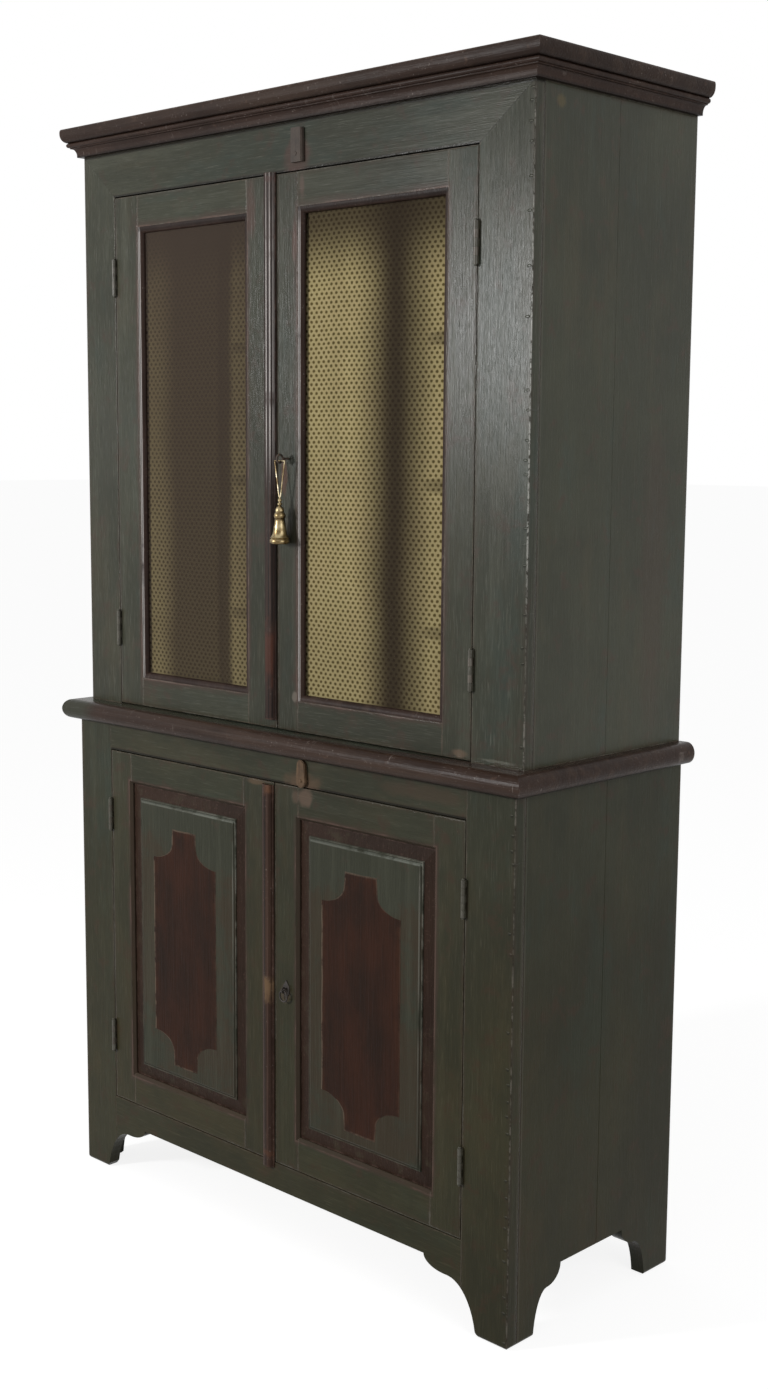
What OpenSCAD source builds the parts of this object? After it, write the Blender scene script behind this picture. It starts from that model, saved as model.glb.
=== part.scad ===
// Two-part display cupboard: a panelled base on bracket feet, and above it a case with
// two glazed doors. +X is to the right, the front looks along -Y, and the feet stand on z = 0.

/* [Base cupboard] */
// Width of the base over its side boards
base_w = 1150; // [1050:10:1300]
// Depth of the base from face frame to back
base_d = 456; // [400:4:520]
// Height of the base under the waist board
base_h = 940; // [900:4:1000]
// Thickness of the base's side boards
base_side_t = 28; // [24:1:32]
// Thickness of the base's face frame
base_frame_t = 25; // [22:1:28]
// Visible width of the base's left stile
base_stile_l = 97; // [89:2:119]
// Visible width of the base's right stile
base_stile_r = 104.5; // [90:0.5:120]
// Height of the rail over the base doors
base_rail_h = 52.5; // [48:0.5:60]
// Height of the lower edge of the apron
apron_z = 110; // [100:2:120]
// Height of the opening's lower edge in the base
base_open_z = 161; // [155:1:175]
// Rise of the base's floor over its opening's lower edge
base_floor_up = 8.5; // [4:0.5:14]
// Height of the shelf inside the base, over its floor
base_shelf_up = 340; // [280:10:420]
// Width of the rear board of each side
rear_board_w = 216; // [190:2:240]

/* [Bracket feet] */
// Width of a foot at the floor
foot_w = 68; // [60:2:80]
// Distance from the side at which a front foot's scroll ends
foot_scroll = 190; // [175:5:220]
// Distance from the side at which a front foot's curve meets its lobe
foot_lobe = 134; // [126:2:142]
// Width of the flat between that curve and the lobe
lobe_flat = 10; // [0:1:16]
// Drop of the lobe below the apron's edge
lobe_drop = 22; // [16:1:26]
// Reach of the side board's cut-out curve from the foot
side_reach = 73; // [60:1:90]
// Bevel at the worn inner corner of a foot
foot_bevel = 5; // [3:1:8]
// Rounding of the worn outer edges under the feet
foot_round = 7; // [3:1:9]

/* [Waist] */
// Thickness of the waist board
waist_t = 38; // [32:1:42]
// Overhang of the waist nosing past the base
waist_out = 28; // [24:1:36]
// Width of the applied half-round nosing
nosing_w = 16; // [13:1:20]

/* [Upper case] */
// Set-in of the case's sides from the base's
case_in = 6; // [0:1:40]
// Height of the upper case
case_h = 1069; // [1000:1:1150]
// Thickness of the case's side boards
case_side_t = 20; // [18:1:24]
// Thickness of the case's face frame
case_frame_t = 22; // [20:1:24]
// Set-back of the upper case behind the base's face
case_back = 25; // [18:1:40]
// Visible width of the case's left stile
case_stile_l = 94; // [86:2:120]
// Visible width of the case's right stile
case_stile_r = 112; // [90:2:124]
// Height of the rail over the glazed doors
case_rail_h = 83.5; // [78:0.5:92]
// Thickness of floor, shelves and base floor
board_t = 18; // [16:1:20]
// Height of the lowest shelf over the waist board
shelf_low_up = 195; // [170:5:220]
// Height of the middle shelf over the waist board
shelf_mid_up = 440; // [400:5:460]
// Height of the top shelf over the waist board
shelf_high_up = 680; // [640:5:700]
// Set-back of the shelves behind the doors
shelf_back = 22; // [18:1:40]
// Thickness of the back boards
back_t = 12; // [10:1:14]
// Depth of the grooves that house shelves and floors
housing_d = 6; // [5:0.5:8]

/* [Cornice] */
// Thickness of the cornice board
cornice_t = 26; // [22:1:30]
// Overhang of the cornice board past the case
cornice_out = 34; // [30:1:42]
// Height of the moulding under the board
mould_h = 27; // [24:1:32]
// Overhang of that moulding past the case
mould_out = 25; // [22:1:28]

/* [Doors] */
// Thickness of the doors
door_t = 22; // [20:1:22]
// Gap on a door's hinge side
hinge_gap = 2; // [2:0.5:3]
// Gap between the two doors of a pair
meet_gap = 3; // [2.5:0.5:4]
// Gap over and under a door
end_gap = 2.5; // [2:0.5:4]
// Place of the glazed doors' meeting line from the middle
up_meet = -12.5; // [-30:0.5:10]
// Place of the panelled doors' meeting line from the middle
low_meet = 6.5; // [-15:0.5:20]
// Width of the left glazed door's hinge stile
up_stile_l = 68; // [58:1:74]
// Width of the right glazed door's hinge stile
up_stile_r = 63; // [58:1:74]
// Width of the left glazed door's closing stile
up_close_l = 78; // [72:1:86]
// Width of the right glazed door's closing stile
up_close_r = 52; // [48:1:60]
// Height of a glazed door's top rail
up_rail_top = 59; // [52:1:66]
// Height of a glazed door's bottom rail
up_rail_bot = 55.5; // [46:0.5:64]
// Width of the left panelled door's hinge stile
low_stile_l = 61; // [56:1:72]
// Width of the right panelled door's hinge stile
low_stile_r = 70; // [58:1:76]
// Width of the left panelled door's closing stile
low_close_l = 85; // [76:1:90]
// Width of the right panelled door's closing stile
low_close_r = 60; // [52:1:66]
// Height of a panelled door's top rail
low_rail_top = 60; // [54:1:68]
// Height of a panelled door's bottom rail
low_rail_bot = 62.5; // [56:0.5:70]
// Length of the tenons
tenon_l = 30; // [24:1:36]
// Thickness of the tenons
tenon_t = 7; // [6:0.5:8]
// Shoulder at each edge of a tenon
tenon_in = 10; // [8:1:14]

/* [Glazing] */
// Width of the moulded glazing bead
bead_w = 11; // [9:1:13]
// Depth of the glazing bead in front of the glass
bead_d = 9; // [7:0.5:10]
// Thickness of the glass
glass_t = 3; // [2:0.5:3]
// Thickness of the stretched fabric
cloth_t = 1.5; // [1:0.5:2]
// Width of the stops behind the fabric
stop_w = 10; // [8:1:12]

/* [Raised panels] */
// Width of a panel's bevel
bevel_w = 26; // [22:1:34]
// Sinking of the bevel's foot behind the frame's face
bevel_sink = 8.5; // [7:0.5:10]
// Rise of the bevel
bevel_rise = 3; // [2:0.5:4]
// Width of the stepped bead round the raised field
step_w = 9; // [7:0.5:12]
// Splay on the inner front edge of a door's frame
splay = 5; // [4:0.5:6]
// Depth of the groove that holds the panel
groove_d = 9; // [8:0.5:11]

/* [Astragals] */
// Width of the strips on the left doors
astragal_w = 30; // [26:1:34]
// How far the strips stand out
astragal_out = 9; // [7:0.5:11]

/* [Hinges] */
// Radius of the hinge knuckles
knuckle_r = 4; // [3.5:0.25:5]
// Radius of the hinge pins
pin_r = 1.9; // [1.7:0.1:2.2]
// Length of the glazed doors' hinges
up_hinge_l = 68; // [56:2:80]
// Length of the panelled doors' hinges
low_hinge_l = 64; // [52:2:76]
// Distance of a glazed door's hinges from its ends
up_hinge_in = 150; // [120:2:170]
// Distance of a panelled door's hinges from its ends
low_hinge_in = 130; // [100:2:150]
// Thickness of a hinge leaf
leaf_t = 2; // [1.5:0.25:2.5]

/* [Turn buttons, bolts and pulls] */
// Distance of the upper button's nail from the case's middle
button_up_x = 43; // [30:1:60]
// Height of the upper button's nail over the doors
button_up_z = 29; // [24:1:34]
// Distance of the lower button's nail from the base's middle
button_low_x = 81; // [60:1:100]
// Height of the lower button's nail over the doors
button_low_z = 14; // [14:1:20]
// Radius of the bolts inside the left doors
bolt_r = 4; // [3.5:0.5:5]
// Distance of a bolt from its door's closing edge
bolt_in = 20; // [16:1:24]
// Travel of a bolt
bolt_travel = 13; // [10:1:16]
// Height of the brass pull's eye over the glazed door's lower edge
eye_up = 488; // [430:2:540]
// Distance of the eye in front of the door
eye_out = 20; // [20:0.5:24]
// Height of the ring pull's eye over the panelled door's lower edge
ring_up = 340; // [300:2:380]

/* [Hidden] */

// Small clearances
snug = 0.2;
run = 0.05;
clear = 0.5;
big = 3000;

// Where the main faces lie; the waist nosing and the back are equally far from y = 0
base_y = waist_out - (base_d + waist_out) / 2;
back_y = base_y + base_d;
case_y = base_y + case_back;
waist_z = base_h + waist_t;
case_w = base_w - 2 * case_in;
case_z = waist_z + case_h;
cornice_z = case_z + mould_h;

// Openings of the two face frames: [left, right, bottom, top]
low_open = [-base_w / 2 + base_stile_l, base_w / 2 - base_stile_r, base_open_z, base_h - base_rail_h];
up_open = [-case_w / 2 + case_stile_l, case_w / 2 - case_stile_r, waist_z, case_z - case_rail_h];

// The four doors: [left, right, bottom, top]
low_l = [low_open[0] + hinge_gap, low_meet - meet_gap / 2, low_open[2] + end_gap, low_open[3] - end_gap];
low_r = [low_meet + meet_gap / 2, low_open[1] - hinge_gap, low_l[2], low_l[3]];
up_l = [up_open[0] + hinge_gap, up_meet - meet_gap / 2, up_open[2] + end_gap, up_open[3] - end_gap];
up_r = [up_meet + meet_gap / 2, up_open[1] - hinge_gap, up_l[2], up_l[3]];

// Sight openings of the four door frames
function sight(d, left, right, bottom, top) =
  [d[0] + left, d[1] - right, d[2] + bottom, d[3] - top];
low_l_in = sight(low_l, low_stile_l, low_close_l, low_rail_bot, low_rail_top);
low_r_in = sight(low_r, low_close_r, low_stile_r, low_rail_bot, low_rail_top);
up_l_in = sight(up_l, up_stile_l, up_close_l, up_rail_bot, up_rail_top);
up_r_in = sight(up_r, up_close_r, up_stile_r, up_rail_bot, up_rail_top);

// Hinge heights of each pair of doors
low_hinges = [low_l[2] + low_hinge_in, low_l[3] - low_hinge_in];
up_hinges = [up_l[2] + up_hinge_in, up_l[3] - up_hinge_in];

base_floor_z = base_open_z + base_floor_up - board_t;
arc_steps = 10;

// Colours
green = [0.235, 0.243, 0.216];
maroon = [0.25, 0.17, 0.165];
bare = [0.42, 0.33, 0.24];
iron = [0.16, 0.14, 0.13];
brass = [0.66, 0.53, 0.27];
glass = [0.75, 0.8, 0.78, 0.35];
fabric = [0.66, 0.62, 0.43];

// Points of an elliptical arc round [cx, cy]
function arc(cx, cy, rx, ry, a0, a1, n = arc_steps) =
  [for (i = [0 : n]) let (a = a0 + (a1 - a0) * i / n) [cx + rx * cos(a), cy + ry * sin(a)]];

// A block between two corners
module block(x0, x1, y0, y1, z0, z1) {
  translate([x0, y0, z0]) cube([x1 - x0, y1 - y0, z1 - z0]);
}

// A plate with an outline in the XZ plane, from y to y + t
module plate(y, t) {
  translate([0, y + t, 0]) rotate([90, 0, 0]) linear_extrude(t) children();
}

// An outline in the YZ plane, from x to x + t
module side_plate(x, t) {
  translate([x, 0, 0]) rotate([90, 0, 90]) linear_extrude(t) children();
}

// One mitred length along X with a section drawn as [inward, depth]
module mitred_length(len, w) {
  intersection() {
    rotate([90, 0, 90]) linear_extrude(len) mirror([1, 0]) rotate(90) children();
    translate([0, big / 2, 0]) rotate([90, 0, 0]) linear_extrude(big)
      polygon([[0, 0], [len, 0], [len - w, w], [w, w]]);
  }
}

// Four mitred lengths round the inside of an opening, w wide, starting at depth y
module mitred_ring(o, y, w) {
  dx = o[1] - o[0];
  dz = o[3] - o[2];
  translate([o[0], y, o[2]]) mitred_length(dx, w) children();
  translate([o[1], y, o[3]]) rotate([0, 180, 0]) mitred_length(dx, w) children();
  translate([o[0], y, o[3]]) rotate([0, 90, 0]) mitred_length(dz, w) children();
  translate([o[1], y, o[2]]) rotate([0, -90, 0]) mitred_length(dz, w) children();
}

// A rail t thick between two stiles, with a tenon at each end
function tenon_y(t) = (t - tenon_t) / 2;
module tenoned_rail(x0, x1, z0, z1, y, t) {
  y0 = y + tenon_y(t);
  block(x0, x1, y, y + t, z0, z1);
  block(x0 - tenon_l, x0, y0, y0 + tenon_t, z0 + tenon_in, z1 - tenon_in);
  block(x1, x1 + tenon_l, y0, y0 + tenon_t, z0 + tenon_in, z1 - tenon_in);
}

// The mortise for such a tenon; x is the stile's inner edge, side is +1 if the stile lies right of it
module mortise(x, side, z0, z1, y, t) {
  x_in = side > 0 ? x - 1 : x - tenon_l;
  y0 = y + tenon_y(t);
  block(x_in, x_in + tenon_l + 1, y0, y0 + tenon_t, z0 + tenon_in, z1 - tenon_in);
}

// Splay round the front of an opening: w wide at the face, ending w behind it
module splay_cut(o, y, w) {
  intersection() {
    translate([0, 0, o[2] - 2 * w]) linear_extrude(o[3] - o[2] + 4 * w)
      polygon([[o[0] - w, y - 1], [o[1] + w, y - 1], [o[1] + w, y],
               [o[1], y + w], [o[0], y + w], [o[0] - w, y]]);
    side_plate(o[0] - 2 * w, o[1] - o[0] + 4 * w)
      polygon([[y - 1, o[2] - w], [y, o[2] - w], [y + w, o[2]],
               [y + w, o[3]], [y, o[3] + w], [y - 1, o[3] + w]]);
  }
}

// Outline of the front cut-out between the feet; a curve's centre lies a little under the floor
curve_sink = apron_z * 0.2;
function foot_curve() = concat(
  [[foot_w - foot_bevel, -1], [foot_w - foot_bevel, 0]],
  arc(foot_lobe, -curve_sink, foot_lobe - foot_w, apron_z + curve_sink - lobe_drop, 164, 90),
  arc(foot_lobe + lobe_flat, apron_z, foot_scroll - foot_lobe - lobe_flat, lobe_drop, 270, 360));
module front_cut() {
  left = [for (p = foot_curve()) [p[0] - base_w / 2, p[1]]];
  right = [for (i = [len(left) - 1 : -1 : 0]) [-left[i][0], left[i][1]]];
  polygon(concat(left, right));
}

// Outline of a side's cut-out between its feet, in [y, z]
side_lobe = apron_z * 0.3;
function side_curve() = concat(
  [[foot_w - foot_bevel, -1], [foot_w - foot_bevel, 0]],
  arc(foot_w + side_reach / 2, -curve_sink, side_reach / 2, apron_z + curve_sink - side_lobe, 166, 90),
  arc(foot_w + side_reach / 2, apron_z, side_reach / 2, side_lobe, 270, 360));
module side_cut() {
  near = [for (p = side_curve()) [base_y + p[0], p[1]]];
  far = [for (i = [len(near) - 1 : -1 : 0]) [base_y + back_y - near[i][0], near[i][1]]];
  polygon(concat(near, far));
}

// Section of the round worn on an edge that stands on the floor
module worn_corner() {
  r = foot_round;
  polygon(concat([[-1, -1], [r, -1]], arc(r, r, r, r, 270, 180, 5), [[-1, r]]));
}

// What wear has taken from the outer edges under the four feet
module worn_edges() {
  for (side = [-1, 1]) translate([side * base_w / 2, back_y + 1, 0]) mirror([side < 0 ? 0 : 1, 0, 0])
    rotate([90, 0, 0]) linear_extrude(base_d + 2) worn_corner();
  translate([-base_w / 2 - 1, base_y, 0]) rotate([90, 0, 90])
    linear_extrude(base_w + 2) worn_corner();
  translate([-base_w / 2 - 1, back_y, 0]) rotate([90, 0, 90])
    linear_extrude(base_w + 2) mirror([1, 0]) worn_corner();
}

// A board let into grooves in a pair of sides, each t thick
module housed_board(w, t, z, y0) {
  reach = w / 2 - t + housing_d;
  block(-reach, reach, y0, back_y - back_t, z, z + board_t);
}

module base_boards() {
  housed_board(base_w, base_side_t, base_floor_z, base_y + base_frame_t + clear);
  housed_board(base_w, base_side_t, base_floor_z + base_shelf_up, base_y + base_frame_t + shelf_back);
}

module case_boards() {
  housed_board(case_w, case_side_t, waist_z, case_y + door_t + clear);
  for (up = [shelf_low_up, shelf_mid_up, shelf_high_up])
    housed_board(case_w, case_side_t, waist_z + up, case_y + door_t + shelf_back);
}

// A side of two boards, t thick, with the seam between them and the rebate for the back boards
seam_d = 1.2;
module side_board(w, t, side, y0, z0, z1) {
  x0 = side < 0 ? -w / 2 : w / 2 - t;
  inner = side < 0 ? x0 + t / 2 : x0 - 1;
  difference() {
    block(x0, x0 + t, y0, back_y, z0, z1);
    block(inner, inner + t / 2 + 1, back_y - back_t, back_y + 1, z0 - 1, z1 + 1);
    translate([side * w / 2, back_y - rear_board_w, z0 - 1]) rotate(45)
      translate([-seam_d / 2, -seam_d / 2, 0]) cube([seam_d, seam_d, z1 - z0 + 2]);
  }
}

module base_side(side) {
  color(green) difference() {
    side_board(base_w, base_side_t, side, base_y + base_frame_t, 0, base_h);
    side_plate(side * base_w / 2 - base_side_t - 1, 2 * base_side_t + 2) side_cut();
    worn_edges();
    base_boards();
  }
}

module base_stile(side) {
  outer = side * base_w / 2;
  inner = side < 0 ? low_open[0] : low_open[1];
  hinge_x = inner - side * hinge_gap / 2;
  color(green) difference() {
    block(min(outer, inner), max(outer, inner), base_y, base_y + base_frame_t, 0, base_h);
    plate(base_y - 1, base_frame_t + 2) front_cut();
    worn_edges();
    mortise(inner, side, low_open[3], base_h, base_y, base_frame_t);
    mortise(inner, side, apron_z, low_open[2], base_y, base_frame_t);
    leaf_recess(hinge_x, base_y, low_hinges, low_hinge_l, side);
  }
}

module base_top_rail() {
  color(green) difference() {
    tenoned_rail(low_open[0], low_open[1], low_open[3], base_h, base_y, base_frame_t);
    bolt_socket(low_l, base_y);
    button_bore(button_low_x, low_l[3] + button_low_z, base_y);
  }
}

// The apron's ends reach down into the feet's curves
module base_apron() {
  color(green) difference() {
    union() {
      block(low_open[0], low_open[1], base_y, base_y + base_frame_t, apron_z / 2, low_open[2]);
      tenoned_rail(low_open[0], low_open[1], apron_z, low_open[2], base_y, base_frame_t);
    }
    plate(base_y - 1, base_frame_t + 2) front_cut();
  }
}

module base_floor() {
  color(bare) housed_board(base_w, base_side_t, base_floor_z, base_y + base_frame_t + clear);
}

module base_shelf() {
  color(bare)
    housed_board(base_w, base_side_t, base_floor_z + base_shelf_up, base_y + base_frame_t + shelf_back);
}

// Vertical boards, side by side, in the rebates of sides that are t thick
back_gap = 1;
back_count = 6;
module board_row(w, t, n, z0, z1) {
  inside = w - t;
  each_w = (inside - (n - 1) * back_gap) / n;
  for (i = [0 : n - 1]) {
    x = -inside / 2 + i * (each_w + back_gap);
    block(x, x + each_w, back_y - back_t, back_y, z0, z1);
  }
}

module back_boards() {
  color(bare) {
    board_row(base_w, base_side_t, back_count, apron_z, base_h);
    board_row(case_w, case_side_t, back_count, waist_z, cornice_z);
  }
}

module waist_board() {
  edge = waist_out - nosing_w;
  color(green) block(-base_w / 2 - edge, base_w / 2 + edge, base_y - edge, back_y, base_h, waist_z);
}

// A mitred U of moulding on three sides; the section is drawn as [out, up] from the carcase's edge
module three_sides(w, y0, out) {
  d = back_y - y0;
  corner = [[-w / 2, y0], [w / 2, y0], [w / 2 + big, y0 - big], [-w / 2 - big, y0 - big]];
  intersection() {
    translate([-w / 2 - out - 1, y0, 0]) rotate([90, 0, 90]) mirror([1, 0])
      linear_extrude(w + 2 * out + 2) children();
    linear_extrude(big) polygon(corner);
  }
  for (side = [-1, 1]) intersection() {
    translate([side * w / 2, back_y, 0]) rotate([90, 0, 0]) mirror([side < 0 ? 1 : 0, 0])
      linear_extrude(d + out + 1) children();
    linear_extrude(big)
      polygon([[side * w / 2, y0], [side * (w / 2 + out + 1), y0 - out - 1],
               [side * (w / 2 + out + 1), back_y], [side * w / 2, back_y]]);
  }
}

module waist_nosing() {
  edge = waist_out - nosing_w;
  color(maroon) translate([0, 0, base_h]) three_sides(base_w + 2 * edge, base_y - edge, nosing_w)
    polygon(concat([[0, 0]], arc(0, waist_t / 2, nosing_w, waist_t / 2, -90, 90, 14), [[0, waist_t]]));
}

module case_side(side) {
  color(green) difference() {
    side_board(case_w, case_side_t, side, case_y + case_frame_t, waist_z, case_z);
    case_boards();
  }
}

// The case's stiles meet its top rail in a long mitre
module case_stile(side) {
  outer = side * case_w / 2;
  inner = side < 0 ? up_open[0] : up_open[1];
  color(green) difference() {
    plate(case_y, case_frame_t)
      polygon([[outer, waist_z], [inner, waist_z], [inner, up_open[3]], [outer, case_z]]);
    leaf_recess(inner - side * hinge_gap / 2, case_y, up_hinges, up_hinge_l, side);
  }
}

module case_top_rail() {
  color(green) difference() {
    plate(case_y, case_frame_t)
      polygon([[up_open[0], up_open[3]], [up_open[1], up_open[3]],
               [case_w / 2, case_z], [-case_w / 2, case_z]]);
    bolt_socket(up_l, case_y);
    button_bore(button_up_x, up_l[3] + button_up_z, case_y);
  }
}

module case_floor() {
  color(bare) housed_board(case_w, case_side_t, waist_z, case_y + door_t + clear);
}

module case_shelves() {
  color(bare) for (up = [shelf_low_up, shelf_mid_up, shelf_high_up])
    housed_board(case_w, case_side_t, waist_z + up, case_y + door_t + shelf_back);
}

// Moulding under the cornice: a bead over a cove, on a block that lies on the case
block_in = case_side_t / 2;
bead_r = 4.5;
module cornice_moulding() {
  w = case_w - 2 * block_in;
  o = mould_out + block_in;
  top_out = o - bead_r;
  cove_top = mould_h - 2 * bead_r - 2;
  lip = 10;
  color(maroon) translate([0, 0, case_z]) three_sides(w, case_y + block_in, o)
    polygon(concat([[0, 0], [block_in + lip, 0], [block_in + lip, 2]],
      arc(top_out - 3, 2, top_out - 3 - block_in - lip, cove_top - 2, 180, 90),
      [[top_out - 1, cove_top], [top_out - 1, cove_top + 2]],
      arc(top_out, mould_h - bead_r, bead_r, bead_r, -90, 90), [[0, mould_h]]));
}

// Rounded edge of the cornice board, as [out, up]: a wide round below and a small one above
nose = [12, 9];
top_round = [3, 6];
function board_edge(o, t) = concat(
  arc(o - nose[0], t - nose[1], nose[0], t - nose[1], -90, 0),
  arc(o - top_round[0], t - top_round[1], top_round[0], top_round[1], 0, 90, 5));
module cornice_board() {
  e = board_edge(cornice_out, cornice_t);
  side_edge = [for (p = e) [p[0] + case_w / 2, p[1]]];
  color(maroon) translate([0, 0, cornice_z]) intersection() {
    translate([-case_w, case_y, 0]) rotate([90, 0, 90]) linear_extrude(2 * case_w)
      polygon(concat([for (p = e) [-p[0], p[1]]], [[base_d, cornice_t], [base_d, 0]]));
    translate([0, back_y, 0]) rotate([90, 0, 0]) linear_extrude(2 * base_d)
      polygon(concat(side_edge, [for (i = [len(e) - 1 : -1 : 0]) [-side_edge[i][0], side_edge[i][1]]]));
  }
}

// Butt hinges, five knuckles each. x, y: pin; side: +1 where the frame's stile lies right of the pin
knuckles = 5;
knuckle_gap = 0.4;
leaf_d = 18;
pin_out = 0.2;
function pin_y(face) = face - knuckle_r - pin_out;

module leaf_recess(x, face, heights, l, side) {
  x0 = x + side * hinge_gap / 2;
  for (z = heights)
    block(min(x0 - side, x0 + side * leaf_t), max(x0 - side, x0 + side * leaf_t),
      face - 1, face + leaf_d + snug, z - l / 2 - snug, z + l / 2 + snug);
}

module hinge_leaf(x, face, z, l, side, first) {
  k = l / knuckles;
  x0 = min(x + side * hinge_gap / 2, x + side * (hinge_gap / 2 + leaf_t));
  difference() {
    union() {
      block(x0, x0 + leaf_t, face + snug, face + leaf_d, z - l / 2, z + l / 2);
      for (i = [first : 2 : knuckles - 1]) translate([0, 0, z - l / 2 + i * k + knuckle_gap / 2]) {
        translate([x, pin_y(face), 0]) cylinder(r = knuckle_r, h = k - knuckle_gap, $fn = 40);
        block(x0, x0 + leaf_t, pin_y(face), face + 1, 0, k - knuckle_gap);
      }
    }
    translate([x, pin_y(face), z - l / 2 - 1]) cylinder(r = pin_r + run, h = l + 2, $fn = 40);
  }
}

// A pin with a small round head at each end
module hinge_pin(x, face, z, l) {
  head_r = pin_r + 1.2;
  head_t = 2;
  translate([x, pin_y(face), z - l / 2 - 1]) rotate_extrude($fn = 32)
    polygon(concat([[0, -head_t]], arc(0, 0, head_r, head_t, -80, 0, 5), [[pin_r, 0], [pin_r, l + 2]],
      arc(0, l + 2, head_r, head_t, 0, 80, 5), [[0, l + 2 + head_t]]));
}

module frame_hinges(face, open, heights, l) {
  for (z = heights) {
    hinge_leaf(open[0] + hinge_gap / 2, face, z, l, -1, 0);
    hinge_leaf(open[1] - hinge_gap / 2, face, z, l, 1, 0);
    hinge_pin(open[0] + hinge_gap / 2, face, z, l);
    hinge_pin(open[1] - hinge_gap / 2, face, z, l);
  }
}

module frame_hinge_leaves() {
  color(iron) {
    frame_hinges(case_y, up_open, up_hinges, up_hinge_l);
    frame_hinges(base_y, low_open, low_hinges, low_hinge_l);
  }
}

module upper_hinges(x, side) {
  color(iron) for (z = up_hinges) hinge_leaf(x, case_y, z, up_hinge_l, side, 1);
}

module lower_hinges(x, side) {
  color(iron) for (z = low_hinges) hinge_leaf(x, base_y, z, low_hinge_l, side, 1);
}

// Door frame members; d is the door, o its sight opening
module door_hinge_stile(d, o, face, heights, l, left) {
  x0 = left ? d[0] : o[1];
  x1 = left ? o[0] : d[1];
  side = left ? -1 : 1;
  pin_x = left ? d[0] - hinge_gap / 2 : d[1] + hinge_gap / 2;
  difference() {
    block(x0, x1, face, face + door_t, d[2], d[3]);
    mortise(left ? o[0] : o[1], side, d[2], o[2], face, door_t);
    mortise(left ? o[0] : o[1], side, o[3], d[3], face, door_t);
    leaf_recess(pin_x, face, heights, l, -side);
  }
}

module door_closing_stile(d, o, face, left) {
  x0 = left ? o[1] : d[0];
  x1 = left ? d[1] : o[0];
  side = left ? 1 : -1;
  difference() {
    block(x0, x1, face, face + door_t, d[2], d[3]);
    mortise(left ? o[1] : o[0], side, d[2], o[2], face, door_t);
    mortise(left ? o[1] : o[0], side, o[3], d[3], face, door_t);
  }
}

module panel_groove(o, face) {
  block(o[0] - groove_d, o[1] + groove_d, face + bevel_sink - snug, face + bevel_sink + tongue_t + snug,
    o[2] - groove_d, o[3] + groove_d);
}

// Mitred glazing beads in front of the glass and plain stops behind the fabric
bead_sink = 1;
bead_step = 1.5;
stop_bevel = 3;
glass_y = bead_sink + bead_d;
module glazing_beads(o, face) {
  stop_y = glass_y + glass_t + cloth_t;
  round_w = bead_w - bead_step;
  round_d = bead_d - bead_step;
  color(maroon) {
    mitred_ring(o, face + bead_sink, bead_w)
      polygon(concat([[0, 0]], arc(bead_step, round_d, round_w, round_d, -90, 0),
        [[bead_w, bead_d], [0, bead_d]]));
    mitred_ring(o, face + stop_y, stop_w)
      polygon([[0, 0], [stop_w, 0], [stop_w - stop_bevel, door_t - stop_y], [0, door_t - stop_y]]);
  }
}

module pane(o, face) {
  y = face + glass_y;
  edge = 1;
  color(glass) block(o[0] + edge, o[1] - edge, y, y + glass_t, o[2] + edge, o[3] - edge);
}

module cloth(o, face) {
  y = face + glass_y + glass_t;
  edge = 2;
  color(fabric) block(o[0] + edge, o[1] - edge, y, y + cloth_t, o[2] + edge, o[3] - edge);
}

// Raised panel: tongue, bevel, a stepped bead and a flat field. Where its two sections cross, the lower
// one rules, which mitres the corners. Section as [distance from the tongue's edge, depth behind the face].
tongue_t = 7;
tongue_in = groove_d - 1;
field_sink = 0.4;
step_rise = 2.4;
bevel_end = tongue_in + bevel_w;
bevel_top = bevel_sink - bevel_rise;
step_top = bevel_top - step_rise;
function panel_front() = concat(
  [[0, bevel_sink], [tongue_in, bevel_sink], [bevel_end, bevel_top],
   [bevel_end, step_top], [bevel_end + step_w * 0.4, step_top]],
  arc(bevel_end + step_w, step_top, step_w * 0.5, step_top - field_sink, 180, 270, 6));
function panel_section(w) = let (f = panel_front(), n = len(f), back = bevel_sink + tongue_t)
  concat(f, [for (i = [n - 1 : -1 : 0]) [w - f[i][0], f[i][1]]], [[w, back], [0, back]]);

module raised_panel(o, face) {
  x0 = o[0] - tongue_in;
  z0 = o[2] - tongue_in;
  w = o[1] - o[0] + 2 * tongue_in;
  h = o[3] - o[2] + 2 * tongue_in;
  color(green) intersection() {
    translate([x0, face, z0]) linear_extrude(h) polygon(panel_section(w));
    translate([x0, face, z0]) rotate([0, 90, 0]) mirror([1, 0, 0])
      linear_extrude(w) polygon(panel_section(h));
  }
}

// Half-round strip with a fillet at each side
astragal_step = 3;
module astragal(d, face, z0, z1) {
  half = astragal_w / 2;
  s = astragal_step;
  edge = s - 1;
  color(maroon) translate([d[1] - half, face, z0]) linear_extrude(z1 - z0)
    polygon(concat([[half, 0], [-half, 0], [-half, -edge], [-half + 1, -s], [s - half, -s]],
      arc(0, -s, half - s, astragal_out - s, 180, 360, 16), [[half - 1, -s], [half, -edge]]));
}

// Sliding bolt inside a left door's closing stile, and the square socket over it in the rail
bolt_l = 95;
knob_r = 2.5;
knob_down = 60;
knob_gap = 0.3;
bolt_down = 1;
socket_gap = 0.7;
module bolt_socket(d, face) {
  half = bolt_r + socket_gap;
  x = d[1] - bolt_in;
  y = face + door_t / 2;
  block(x - half, x + half, y - half, y + half, d[3], d[3] + bolt_travel + 2 + end_gap);
}

module bolt_seat(d, face) {
  x = d[1] - bolt_in;
  y = face + door_t / 2;
  slot_r = knob_r + knob_gap;
  translate([x, y, d[3] - bolt_down - bolt_l - snug]) cylinder(r = bolt_r + 0.1, h = bolt_l + 5, $fn = 40);
  block(x - slot_r, x + slot_r, y, face + door_t + 1,
    d[3] - knob_down - knob_r - clear, d[3] - knob_down + bolt_travel + knob_r + clear);
}

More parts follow.
